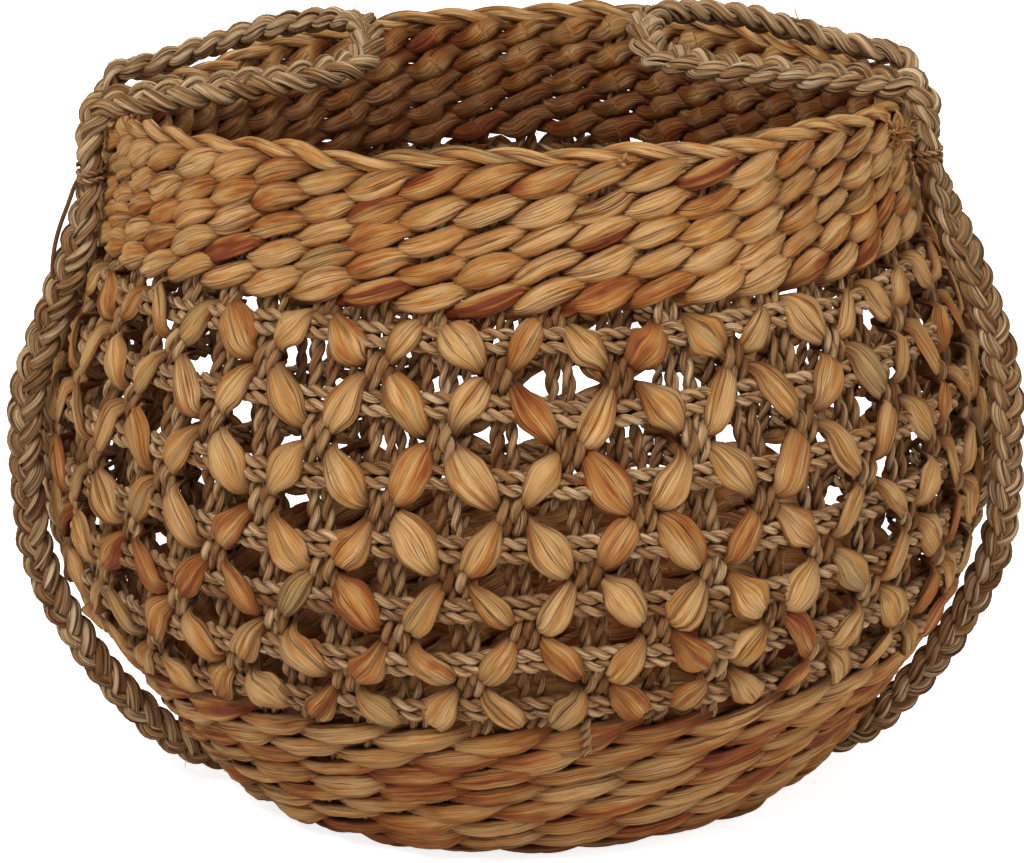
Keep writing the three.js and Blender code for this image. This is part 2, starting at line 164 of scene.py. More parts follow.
# %% Measure along the profile
profile = smooth_through(PROFILE_KNOTS)
profile_s = np.arange(len(profile)) * 1.0
profile_slope = np.gradient(profile, profile_s, axis=0)
profile_slope /= np.linalg.norm(profile_slope, axis=1)[:, None]
RIM_S = profile_s[-1]


def s_at_height(z):
    """Distance along the profile where it passes a height, up to the rim from the floor's edge."""
    rising = profile_s > FLAT_FLOOR_S
    return np.interp(z, profile[rising, 1], profile_s[rising])


print("profile length", round(float(RIM_S)), "mm")

# %% [markdown]
# A hand-woven wall is never true. Slow waves along the rounds say that a person made it, and
# because the waves are part of the shell itself, every strand follows them together and none
# cuts through its neighbour. Each wave is a sine with its height in mm, how often it goes
# round the basket, and how fast it changes on the way up. They grow from nothing at the floor,
# which has to lie flat. The rim dips a little towards the handles.

# %% Waves and lean of a hand-woven wall
LEAN = math.radians(5)
WALL_RADIUS = 195
WAVES_START_S = 130
BULGES_START_S = 120
GROWTH = 120
LEAN_FOOT_S, LEAN_MIDDLE_S, LEAN_TOP_S = s_at_height(np.array([70, 150, 262]))


def hand_drift(angle, s):
    """Slow waves up and down the wall, none at the floor, in mm."""
    share = np.clip((s - WAVES_START_S) / GROWTH, 0, 1)
    wave = 1.9 * np.sin(2 * angle + 0.9) + 1.5 * np.sin(3 * angle + s / 60 + 2.1)
    ripple = 1.0 * np.sin(7 * angle + s / 25) + 0.6 * np.sin(13 * angle - s / 17)
    return share * (wave + ripple)


def hand_bulge(angle, s):
    """Slow waves in and out, in mm."""
    share = np.clip((s - BULGES_START_S) / GROWTH, 0, 1)
    return share * (1.0 * np.sin(4 * angle + 1.3 + s / 90) + 0.8 * np.sin(9 * angle + s / 40))


def hand_lean(s):
    """The open wall leans: its stakes drift to the right on the way down. An angle."""
    reach = np.clip(s, LEAN_FOOT_S, LEAN_TOP_S) - LEAN_MIDDLE_S
    return -reach * math.tan(LEAN) / WALL_RADIUS


print("the lean moves a stake", round((LEAN_TOP_S - LEAN_FOOT_S) * math.tan(LEAN)), "mm along the wall")

# %% Place points on the shell
WALL_FOOT_HEIGHT = 12


def on_shell(angle, s, depth=0.0, rise=0.0):
    """Points off the stakes' surface: depth outwards, rise along the profile."""
    angle, s, depth, rise = np.broadcast_arrays(angle, s, depth, rise)
    angle, s = angle + hand_lean(s), s.astype(float)
    depth = depth + hand_bulge(angle, s)
    rise = rise + hand_drift(angle, s)
    r = np.interp(s, profile_s, profile[:, 0])
    z = np.interp(s, profile_s, profile[:, 1])
    tr = np.interp(s, profile_s, profile_slope[:, 0])
    tz = np.interp(s, profile_s, profile_slope[:, 1])
    radius = r + depth * tz + rise * tr
    height = z - depth * tr + rise * tz
    share = np.clip((height - SADDLE_START) / (RIM_HEIGHT - SADDLE_START), 0, 1.1)
    height = height - RIM_SADDLE * share * np.cos(2 * angle)
    return np.stack([radius * np.cos(angle), radius * np.sin(angle), height], -1)


def off_shell(angle, s, depth):
    """Unit vectors that point straight off the shell."""
    out = on_shell(angle, s, depth + 0.5) - on_shell(angle, s, depth - 0.5)
    return out / np.linalg.norm(out, axis=-1, keepdims=True)


def deep_in_wall(points, reach):
    """1 in the middle of the wall's thickness, falling away to 0 in front and behind."""
    height = np.clip(points[..., 2], WALL_FOOT_HEIGHT, RIM_HEIGHT)
    s = s_at_height(height)
    depth = np.hypot(points[..., 0], points[..., 1]) - np.interp(s, profile_s, profile[:, 0])
    depth = depth * np.interp(s, profile_s, profile_slope[:, 1])
    return np.exp(-((depth / reach) ** 2))


rim_heights = on_shell(np.array([0, -math.pi / 2]), RIM_S)[:, 2]
print("rim height at the right handle and in front:", rim_heights.round(), "mm")

# %% [markdown]
# ## Skins
#
# Cords, leaves and strands are all one thing to the modeller: an outline swept along a path.
# Blender's curves could do it, but a basket has thousands of strands and each needs its own
# marks for the materials, so the skins are made as arrays of points. Each skin is closed at
# its ends, and its faces point out. Three marks go with every point. *fibre* says how far
# along and across the strand it lies, in mm, so a material can run its grain along the plant.
# *tone* is one random number for each leaf. The third mark is painted shade: it grows where a leaf dives
# behind, and the material darkens the strand there.


# %% Directions along a path
def unit(vectors):
    return vectors / np.maximum(np.linalg.norm(vectors, axis=-1, keepdims=True), 1e-9)


def ring_angles(count):
    """Angles of an outline's points, half a step off the axes so that its ends close in quads."""
    return 2 * np.pi * (np.arange(count) + 0.5) / count


def frames_along(path, out, closed):
    """Two directions square to the path: across it, and the nearest one to out."""
    if closed:
        tangent = np.roll(path, -1, axis=0) - np.roll(path, 1, axis=0)
    else:
        tangent = np.gradient(path, axis=0)
    tangent = unit(tangent)
    across = unit(np.cross(out, tangent))
    return across, np.cross(tangent, across)


# %% Sweep an outline along a path
def swept_skin(path, out, x, y, closed=False, tone=0.5, tuck=0.0, along=None, seed=0.0):
    """One closed skin. x and y are the outline's points at each step, across and out."""
    n, m = x.shape
    across, up = frames_along(path, out, closed)
    points = path[:, None] + x[..., None] * across[:, None] + y[..., None] * up[:, None]
    if along is None:
        along = np.concatenate([[0], np.cumsum(np.linalg.norm(np.diff(path, axis=0), axis=1))])
    spans = n if closed else n - 1
    i = np.arange(spans)[:, None]
    j = np.arange(m)[None]
    i2, j2 = (i + 1) % n, (j + 1) % m
    quads = np.stack([i * m + j, i2 * m + j, i2 * m + j2, i * m + j2], -1).reshape(-1, 4)
    if not closed:
        k = np.arange(m // 2 - 1)
        cap = np.stack([k, k + 1, m - 2 - k, m - 1 - k], -1)
        quads = np.concatenate([quads, cap, (n - 1) * m + cap[:, ::-1]])
    flat = points.reshape(-1, 3)
    a, b, c, d = (flat[quads[:, q]] for q in range(4))
    if np.einsum("ij,ij->i", a + b, np.cross(c - a, d - b)).sum() < 0:
        quads = quads[:, ::-1]
    girth = np.concatenate([np.zeros((n, 1)), np.cumsum(np.hypot(np.diff(x), np.diff(y)), 1)], 1)
    girth *= girth[:, -1].max() / girth[:, -1:]
    fibre = np.stack([np.broadcast_to(along[:, None], (n, m)), girth, np.full((n, m), seed)], -1)

    def spread(mark):
        """One value for each point, from one for all, one for each step, or a full table."""
        return np.broadcast_to(mark if np.ndim(mark) == 2 else np.reshape(mark, (-1, 1)), (n, m)).ravel()

    return flat, quads, fibre.reshape(-1, 3), spread(tone), spread(tuck)


def tube_skin(path, out, radius, sides, **marks):
    """A round skin, with one radius for each step."""
    ring = ring_angles(sides)
    out = np.broadcast_to(out, path.shape)
    return swept_skin(path, out, radius * np.cos(ring), radius * np.sin(ring), **marks)


# %% [markdown]
# Many skins become one Blender object, such as all the leaves of one round. The object then
# replaces its plain solid in the frame, and it rides on the body that it is given, the basket
# unless it is told otherwise.


# %% Turn skins into an object
faces_made = {}
MARKS = [  # name, kind and field, in the order that a skin gives them
    ("fibre", "FLOAT_VECTOR", "vector"),
    ("tone", "FLOAT", "value"),
    # the third mark is how much painted shade a point gets
    ("tuck", "FLOAT", "value"),
]


def make_piece(name, skins, slot, nodes=(), body="basket"):
    """Skins in mm, the finish's slot, the frame's nodes that it replaces, and its body."""
    base = np.cumsum([0] + [len(s[0]) for s in skins])[:-1]
    points = np.concatenate([s[0] for s in skins]) * MM
    quads = np.concatenate([s[1] + b for s, b in zip(skins, base)])
    mesh = bpy.data.meshes.new(name)
    mesh.vertices.add(len(points))
    mesh.vertices.foreach_set("co", points.astype(np.float32).ravel())
    mesh.loops.add(quads.size)
    mesh.loops.foreach_set("vertex_index", quads.astype(np.int32).ravel())
    mesh.polygons.add(len(quads))
    mesh.polygons.foreach_set("loop_start", np.arange(len(quads), dtype=np.int32) * 4)
    mesh.update(calc_edges=True)
    mesh.shade_smooth()
    for k, (mark, kind, field) in enumerate(MARKS):
        values = np.concatenate([s[2 + k] for s in skins]).astype(np.float32)
        mesh.attributes.new(mark, kind, "POINT").data.foreach_set(field, values.ravel())
    mesh.materials.append(FINISHES[slot])
    piece = bpy.data.objects.new(name, mesh)
    bpy.context.scene.collection.objects.link(piece)
    if nodes:
        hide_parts(*nodes)
    if body:
        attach(piece, body)
    faces_made[name] = len(quads)
    return piece


# %% [markdown]
# ## Materials
#
# Dried water hyacinth is a flattened stem. It is satin, not shiny, with fine fibres along its
# length, and it dries to anything from straw to red-brown. Seagrass is greyer and duller, and
# its cord is twisted from two plies. Both are plant fibre, so both have an IOR near 1.5 and no
# metal. The grain runs in the *fibre* mark's own directions. It is a noise that is stretched
# along the strand, up to forty to one in the finest fibres, and that is what makes it read as
# a leaf and not as clay. The real fibres are about 0.1 mm wide. They are drawn 0.45 to 0.75 mm
# wide here, because finer ones don't show in the picture. The relief of fibres, folds and
# creases is a bump, since each is finer than the skins' own faces.


# %% Colour and node helpers
def linear(hex_colour):
    """sRGB hex to the linear colour that Blender works in."""
    channels = [int(hex_colour[i : i + 2], 16) / 255 for i in (1, 3, 5)]
    return [c / 12.92 if c <= 0.04045 else ((c + 0.055) / 1.055) ** 2.4 for c in channels] + [1.0]


def add_node(tree, kind, inputs, **settings):
    """A node with its settings and links.

    inputs says what goes into a socket, by its name or number: a value, an output of another
    node, or a whole node, which stands for its first output.
    """
    node = tree.nodes.new(kind)
    for key, value in settings.items():
        setattr(node, key, value)
    for key, value in inputs.items():
        if isinstance(value, bpy.types.Node):
            value = value.outputs[0]
        if isinstance(value, bpy.types.NodeSocket):
            tree.links.new(value, node.inputs[key])
        else:
            node.inputs[key].default_value = value
    return node


# %% Plant fibre, the finish that every strand shares
SHADED_HAIR = "#D4C1AA"
HAIR_LENGTH = 18
CREASE_STRETCH = 34
NOISE_MIDDLE = 0.5
BLOTCHES = 1.1  # how far the patches shift a leaf's tone
SEED_STRIDE = 7.3
PLANT_IOR = 1.5


def plant_fibre(name, tones, crease_shade_hex, tuck_hex, hair_mm, hair_top, crease_mm, crease_width,
                roughness, shine, bump_mm):
    """Tones run from the darkest dry leaf to the greyest. Widths are in mm."""
    material = bpy.data.materials.new(name)
    material.use_nodes = True
    tree = material.node_tree
    shader = tree.nodes["Principled BSDF"]
    fibre = add_node(tree, "ShaderNodeAttribute", {}, attribute_name="fibre").outputs["Vector"]
    tone = add_node(tree, "ShaderNodeAttribute", {}, attribute_name="tone").outputs["Fac"]
    # The third mark is how much painted shade the strand gets
    tuck = add_node(tree, "ShaderNodeAttribute", {}, attribute_name="tuck").outputs["Fac"]

    # Grain is long and narrow, and each seed has its own part of the noise
    def grain(across_mm, along_mm, detail):
        stretch = (1 / along_mm, 1 / across_mm, SEED_STRIDE)
        drawn = add_node(tree, "ShaderNodeVectorMath", {0: fibre, 1: stretch}, operation="MULTIPLY")
        noise = add_node(tree, "ShaderNodeTexNoise", {"Vector": drawn, "Scale": 1.0, "Detail": detail})
        return noise.outputs["Fac"]

    hairs = grain(hair_mm, HAIR_LENGTH, detail=2.0)
    folds = grain(crease_mm, crease_mm * CREASE_STRETCH, detail=1.0)
    bands = grain(across_mm=3.2, along_mm=45, detail=1.0)
    patches = grain(across_mm=9, along_mm=20, detail=3.0)

    # A crease lies where the slow noise passes its middle value, so it is thin and unbroken
    above = add_node(tree, "ShaderNodeMath", {0: folds, 1: NOISE_MIDDLE}, operation="SUBTRACT")
    away = add_node(tree, "ShaderNodeMath", {0: above}, operation="ABSOLUTE")
    line = add_node(tree, "ShaderNodeMapRange", {
        "Value": away, "From Min": 0.0, "From Max": crease_width, "To Min": 1.0, "To Max": 0.0,
    })
    where = add_node(tree, "ShaderNodeMapRange", {"Value": bands, "From Min": 0.42, "From Max": 0.6})
    crease = add_node(tree, "ShaderNodeMath", {0: line, 1: where}, operation="MULTIPLY")

    # A dark leaf is streaked with gold, and a pale one hardly at all
    strength = add_node(tree, "ShaderNodeMapRange", {
        "Value": tone, "From Min": 0.05, "From Max": 0.35, "To Min": 1.7, "To Max": 0.45,
    })
    streaks = add_node(tree, "ShaderNodeMath", {0: bands, 1: NOISE_MIDDLE}, operation="SUBTRACT")
    streaks = add_node(tree, "ShaderNodeMath", {0: streaks, 1: strength}, operation="MULTIPLY")
    blotches = add_node(tree, "ShaderNodeMath", {
        0: patches, 1: BLOTCHES, 2: -BLOTCHES * NOISE_MIDDLE,
    }, operation="MULTIPLY_ADD")
    streaked = add_node(tree, "ShaderNodeMath", {0: tone, 1: streaks}, operation="ADD")
    shifted = add_node(tree, "ShaderNodeMath", {0: streaked, 1: blotches}, operation="ADD")
    ramp = add_node(tree, "ShaderNodeValToRGB", {"Fac": shifted})
    stops = ramp.color_ramp.elements
    for i, hex_colour in enumerate(tones):
        stop = stops[i] if i < 2 else stops.new(1.0)
        stop.position = i / (len(tones) - 1)
        stop.color = linear(hex_colour)

    # Over that come the shaded hairs, a few dark bands, painted shade in the creases, and painted shade
    # where a strand is tucked away
    hairy = add_node(tree, "ShaderNodeMapRange", {"Value": hairs, "From Min": 0.42, "From Max": hair_top})
    banded = add_node(tree, "ShaderNodeMapRange", {
        "Value": bands, "From Min": 0.58, "From Max": 0.78, "To Min": 0.0, "To Max": 0.7,
    })
    # Painted shade in the creases
    crease_shade = add_node(tree, "ShaderNodeMath", {0: crease, 1: 0.75}, operation="MULTIPLY")
    shade = add_node(tree, "ShaderNodeMapRange", {
        "Value": hairs, "From Min": 0.3, "From Max": 0.7, "To Min": 0.55, "To Max": 0.95,
    })
    shade = add_node(tree, "ShaderNodeMath", {0: tuck, 1: shade}, operation="MULTIPLY")
    layers = [
        (hairy, SHADED_HAIR, "MULTIPLY"),
        (banded, tuck_hex, "MIX"),
        (crease_shade, crease_shade_hex, "MIX"),
        (shade, tuck_hex, "MIX"),
    ]
    colour = ramp.outputs["Color"]

    # A mix of colours has them in sockets 6 and 7, and its result in output 2
    for share, stain_hex, blend in layers:
        layer = {0: share, 6: colour, 7: linear(stain_hex)}
        colour = add_node(tree, "ShaderNodeMix", layer, data_type="RGBA", blend_type=blend).outputs[2]
    tree.links.new(colour, shader.inputs["Base Color"])

    # Loose fibres break up the sheen where a strand turns away
    turned = add_node(tree, "ShaderNodeLayerWeight", {"Blend": 0.5}).outputs["Facing"]
    grainy = add_node(tree, "ShaderNodeMapRange", {
        "Value": hairs, "From Min": 0.2, "From Max": 0.8,
        "To Min": roughness - 0.1, "To Max": roughness + 0.15,
    })
    fuzzy = add_node(tree, "ShaderNodeMapRange", {
        "Value": turned, "From Min": 0.3, "From Max": 0.8, "To Min": 0.0, "To Max": 0.35,
    })
    matt = add_node(tree, "ShaderNodeMath", {0: grainy, 1: fuzzy}, operation="ADD")
    tree.links.new(matt.outputs[0], shader.inputs["Roughness"])

    # Fibres and folds stand up, and creases cut in
    relief = add_node(tree, "ShaderNodeMath", {0: hairs, 1: 0.5}, operation="MULTIPLY")
    relief = add_node(tree, "ShaderNodeMath", {0: folds, 1: 1.3, 2: relief}, operation="MULTIPLY_ADD")
    relief = add_node(tree, "ShaderNodeMath", {0: crease, 1: -0.7, 2: relief}, operation="MULTIPLY_ADD")
    bump = add_node(tree, "ShaderNodeBump", {"Height": relief, "Strength": 1.0, "Distance": bump_mm * MM})
    tree.links.new(bump.outputs["Normal"], shader.inputs["Normal"])
    shader.inputs["IOR"].default_value = PLANT_IOR
    shader.inputs["Specular IOR Level"].default_value = shine
    return material


# %% [markdown]
# Water hyacinth stems are dried in the sun until they are flat, and damped again for weaving.
# That gives the eye long satin folds with creases between them, in gold, straw and red-brown,
# and a greener grey in a few leaves. The creases are darkened with painted shade. Seagrass is
# twisted into cord or braided into rope. It gives a matt, greyer straw, with painted shade in
# the line between the plies. The rope is a little paler than the cord.

# %% Hyacinth leaf
dried_hyacinth = plant_fibre(
    "dried_water_hyacinth_leaf",
    ["#7C3A1E", "#A45D2C", "#C08242", "#D3A163", "#DDB279", "#C88A46", "#C39D64", "#AC8C5C"],
    # painted shade in the creases; the next colour serves both the dark bands and the painted shade
    crease_shade_hex="#521F06",
    tuck_hex="#5E2405",
    hair_mm=0.45,
    hair_top=0.7,
    crease_mm=1.35,
    crease_width=0.038,
    roughness=0.6,
    shine=0.18,
    bump_mm=0.7,
)
print("made", dried_hyacinth.name)

# %% Seagrass cord and rope
SEAGRASS_FINISH = {
    # painted shade in the creases; the next colour serves both the dark bands and the painted shade
    "crease_shade_hex": "#4A240B",
    "tuck_hex": "#54290D",
    "hair_mm": 0.75,
    "hair_top": 0.56,
    "crease_mm": 0.9,
    "crease_width": 0.06,
    "roughness": 0.7,
    "shine": 0.15,
    "bump_mm": 0.35,
}
CORD_TONES = ["#7E5735", "#A0774F", "#BC966C", "#D6B58C", "#AA8056"]
ROPE_TONES = ["#8A6240", "#B08A5F", "#CFAE84", "#E4CBA4", "#BC9668"]
seagrass_cord = plant_fibre("twisted_seagrass_cord", CORD_TONES, **SEAGRASS_FINISH)
seagrass_braid = plant_fibre("braided_seagrass_rope", ROPE_TONES, **SEAGRASS_FINISH)
print("made", seagrass_cord.name, "and", seagrass_braid.name)

# %% The finish that each slot has
FINISHES = {
    "hyacinth_leaf": dried_hyacinth,
    "hyacinth_base": dried_hyacinth,
    "seagrass_cord": seagrass_cord,
    "braided_rope": seagrass_braid,
}
print("finishes:", list(FINISHES))

# %% [markdown]
# ## Cords
#
# A two-ply cord is two strands wound round each other. A twisted picture on a plain tube would
# look right only from far away, so the plies are real tubes that wind along the path, at least
# eight steps to a turn. The lay, the length of one turn, is two to three cord widths.

# %% Wind two plies along a path
PLIES = 2


def wound_cord(path, out, ply_radius, orbit, lay, closed=False, sides=6, wrinkle=0.0, phase=0.0,
               tone=0.5, seed=0.0):
    """path in even steps. Each ply winds round it at the orbit's radius and varies a little."""
    across, up = frames_along(path, out, closed)
    run = np.concatenate([[0], np.cumsum(np.linalg.norm(np.diff(path, axis=0), axis=1))])
    total = run[-1] + (np.linalg.norm(path[0] - path[-1]) if closed else 0)
    turns = max(1, round(total / lay)) if closed else total / lay
    skins = []
    for k in range(PLIES):
        turn = 2 * np.pi * (run / total * turns + k / PLIES) + phase
        centre = path + orbit * (np.cos(turn)[:, None] * across + np.sin(turn)[:, None] * up)
        swell = ply_radius * (1 + 0.09 * np.sin(run / lay * 1.7 + 9 * seed + k))
        ring = ring_angles(sides)
        at = run[:, None]
        folded = 1 + wrinkle * np.sin(5 * ring + 0.04 * at) * np.sin(3 * ring - 0.09 * at)
        x = swell[:, None] * folded * np.cos(ring)
        y = swell[:, None] * folded * np.sin(ring)
        shade = np.clip(tone + 0.16 * np.sin(run / 37 + 5 * seed + 2 * k), 0, 1)
        # Painted shade in the groove where a ply lies against the other one
        ply_shade = np.clip(0.3 - 1.1 * np.cos(ring - turn[:, None]), 0, 1)
        skin = swept_skin(centre, up, x, y, closed, tone=shade, tuck=ply_shade, seed=seed + 0.37 * k)
        skins.append(skin)
    return skins


# %% [markdown]
# ## Stakes
#
# A stake's two cords lie side by side. They draw together where a star of leaves grips them
# and splay a little between. There they also stand out and look thicker, because four leaves
# press on them from behind. The stars sit halfway between two rounds, on every second stake,
# so the stake's number and the round's number together say where they are.

# %% Where the rounds and the stars are
ROUND_HEIGHTS = [243.5, 217.5, 190, 163.5, 139, 116, 94]
round_s = s_at_height(np.array(ROUND_HEIGHTS))
COLLAR_FOOT_HEIGHT = 255
BOWL_TOP_HEIGHT = 81
COLLAR_FOOT_S = float(s_at_height(COLLAR_FOOT_HEIGHT))
BOWL_TOP_S = float(s_at_height(BOWL_TOP_HEIGHT))
STEP = 2 * math.pi / STAKES
ROUND_EDGE = 4.3

middle_s = (round_s[:-1] + round_s[1:]) / 2
top_star_s = (round_s[0] + ROUND_EDGE + COLLAR_FOOT_S) / 2
bottom_star_s = (round_s[-1] - ROUND_EDGE + BOWL_TOP_S) / 2
star_s = np.concatenate([[top_star_s], middle_s, [bottom_star_s]])


def stars_on(stake):
    """Distances along the profile of the stars that this stake holds."""
    return [star_s[level] for level in range(len(star_s)) if (stake + level) % 2 == 1]


print("stars on a stake:", len(stars_on(0)), "or", len(stars_on(1)))

# %% Stakes, one object for each folded pair
STAKE_FOOT_S = BOWL_TOP_S - 75
STAKE_TOP_S = RIM_S - 10
CORD_PLY_RADIUS = 1.7
CORD_ORBIT = 1.26
CORD_STEP = 1.4
STAKE_LAY = 17
PAIR_HALF = 2.7
SPLAY = 0.7  # how far the cords part between two stars
GRIP_REACH = 8  # how far along a stake a star draws its cords together
GRIP_OUT = 3.9
GRIP_SWELL = 0.27
SLACK_IN = 0.7
FADE = 10


def stake_skins(stake):
    """Both cords of one stake, from inside the bowl up into the collar."""
    s = np.arange(STAKE_FOOT_S, STAKE_TOP_S, CORD_STEP)
    angle = np.full(len(s), stake * STEP)
    grip = sum(np.exp(-(((s - at) / GRIP_REACH) ** 2)) for at in stars_on(stake))
    lattice = np.clip((s - BOWL_TOP_S) / FADE, 0, 1) * np.clip((COLLAR_FOOT_S - s) / FADE, 0, 1)
    half = PAIR_HALF + lattice * SPLAY * (1 - grip) + 0.25 * np.sin(s / 13 + 3 * stake)
    lean = lattice * 0.9 * np.sin(s / 45 + 2.4 * stake)
    depth = lattice * (GRIP_OUT * grip - SLACK_IN)
    swell = 1 + GRIP_SWELL * lattice * grip
    radius = np.interp(s, profile_s, profile[:, 0])
    skins = []
    for k, side in enumerate((-1, 1)):
        path = on_shell(angle + (side * half + lean) / radius, s, depth)
        out = off_shell(angle, s, depth)
        tone = np.clip(rng.normal(0.38, 0.16), 0, 1)
        skins += wound_cord(path, out, CORD_PLY_RADIUS * swell, CORD_ORBIT * swell[:, None],
                            STAKE_LAY, phase=rng.uniform(0, 6), tone=tone, seed=stake + 0.5 * k)
    return skins


for pair in range(STAKES // 2):
    skins = stake_skins(2 * pair) + stake_skins(2 * pair + 1)
    make_piece(f"stake_cords_{pair + 1}", skins, "seagrass_cord", [f"stake_pair_{pair + 1}"])
print("stakes:", STAKES, "faces a pair:", faces_made["stake_cords_1"])

# %% [markdown]
# ## Openwork rounds
#
# Seven rounds of two stacked cords lie in front of the stakes. A leaf presses each round in
# between two stakes, so the round runs in shallow waves, out at a stake and in at a leaf.

# %% Openwork rounds
ROUND_HALF = 2.5
ROUND_DEPTH = 4.1
ROUND_WAVE = 1.0
ROUND_LAY = 13.75


def round_skins(row):
    """The two stacked cords of one round."""
    circle = 2 * math.pi * profile[int(round_s[row]), 0]
    angle = np.linspace(0, 2 * np.pi, int(circle / CORD_STEP), endpoint=False)
    depth = ROUND_DEPTH + ROUND_WAVE * np.cos(STAKES * angle)
    skins = []
    for k, side in enumerate((-1, 1)):
        rise = side * (ROUND_HALF + 0.35 * np.cos(STAKES * angle)) + 0.5 * np.sin(11 * angle + row)
        path = on_shell(angle, round_s[row], depth, rise)
        out = off_shell(angle, np.full(len(angle), round_s[row]), depth)
        tone = np.clip(rng.normal(0.55, 0.15), 0, 1)
        skins += wound_cord(path, out, CORD_PLY_RADIUS, CORD_ORBIT, ROUND_LAY, closed=True,
                            phase=rng.uniform(0, 6), tone=tone, seed=100 + 7 * row + 0.5 * k)
    return skins


for row in range(len(ROUND_HEIGHTS)):
    make_piece(f"openwork_cords_{row + 1}", round_skins(row), "seagrass_cord",
               [f"openwork_round_{row + 1}"])
print("rounds:", len(ROUND_HEIGHTS), "faces each:", faces_made["openwork_cords_1"])

# %% [markdown]
# ## Leaves of the open wall
#
# One long strip of leaf follows each round. In every gap it lies over the round, slanting up
# in one gap and down in the next, and at every stake it is pinched behind the two cords.
# Where four slanting leaves meet behind a stake they make the star that the eye picks out.
# A leaf bulges between its pinches, because a dried stem is spongy: the outline is flat
# behind and crowned in front, with folds that run along it. No two leaves are cut alike, so
# width, swell, slant, curl, roll and colour are drawn anew for each, between limits that were
# judged. The leaf's edges and the parts inside the wall get more painted shade.

# %% Outline and shade of a leaf
LEAF_OUTLINE = 22
DEEP_SHADE = 0.75
LEAF_ACROSS = np.cos(ring_angles(LEAF_OUTLINE))
EDGE_SHADE = 0.75 * np.abs(LEAF_ACROSS) ** 4


def leaf_outline(half, crown, back_share, folds, phase, curl, roll):
    """A lens with folds along the leaf. Curl lifts one edge like a dried leaf's, and roll tips it."""
    ring = ring_angles(LEAF_OUTLINE)
    front = np.clip(np.sin(ring), 0, 1) ** 1.2
    back = np.clip(-np.sin(ring), 0, 1) ** 1.1
    fold = 1 + 0.2 * np.sin(folds[:, None] * LEAF_ACROSS + phase[:, None])
    fold = fold + 0.12 * np.sin(2.3 * folds[:, None] * LEAF_ACROSS - 1.7 * phase[:, None])
    y = crown[:, None] * (front * fold - back_share * back)
    lifted = np.clip(np.sign(curl)[:, None] * LEAF_ACROSS - 0.35, 0, 1) ** 2
    y = y + (np.abs(curl) * crown)[:, None] * lifted * 1.6
    x = half[:, None] * LEAF_ACROSS
    turn, lean = np.cos(roll)[:, None], np.sin(roll)[:, None]
    return x * turn - y * lean, x * lean + y * turn


def shaded(skin, reach):
    """The same skin with more painted shade inside the wall, where no light comes."""
    points, quads, fibre, tone, tuck = skin
    return points, quads, fibre, tone, np.clip(tuck + DEEP_SHADE * deep_in_wall(points, reach), 0, 1)


# %% Leaf strips
LEAF_STEPS = 24
LEAF_EASE = 0.3
LEAF_DIVE = 0.13  # share of the gap in which a leaf comes out from behind its stake
RISING_DIVE = 0.18
NODE_DEPTH = -4.6
LEAF_DEPTH = 6.6
LEAF_HALF_WIDTH = 7.8
LEAF_NODE_HALF = 1.5
LEAF_CROWN = 2.4
LEAF_NODE_CROWN = 1.2
LEAF_BACK = 0.35
LEAF_SPAN = 38
LEAF_APART = 60.0  # from one leaf's grain to the next one's, so that no two share it
WALL_SHADE_REACH = 2.6
STAR_GAP = 0.9


def leaf_node_rise(row, side):
    """Rise from a round's middle to where its leaf is pinched, above or below it."""
    level = row if side > 0 else row + 1
    gap = star_s[level] - round_s[row]
    inner = 0 < level < len(star_s) - 1
    return gap - side * (STAR_GAP if inner else 0.0)


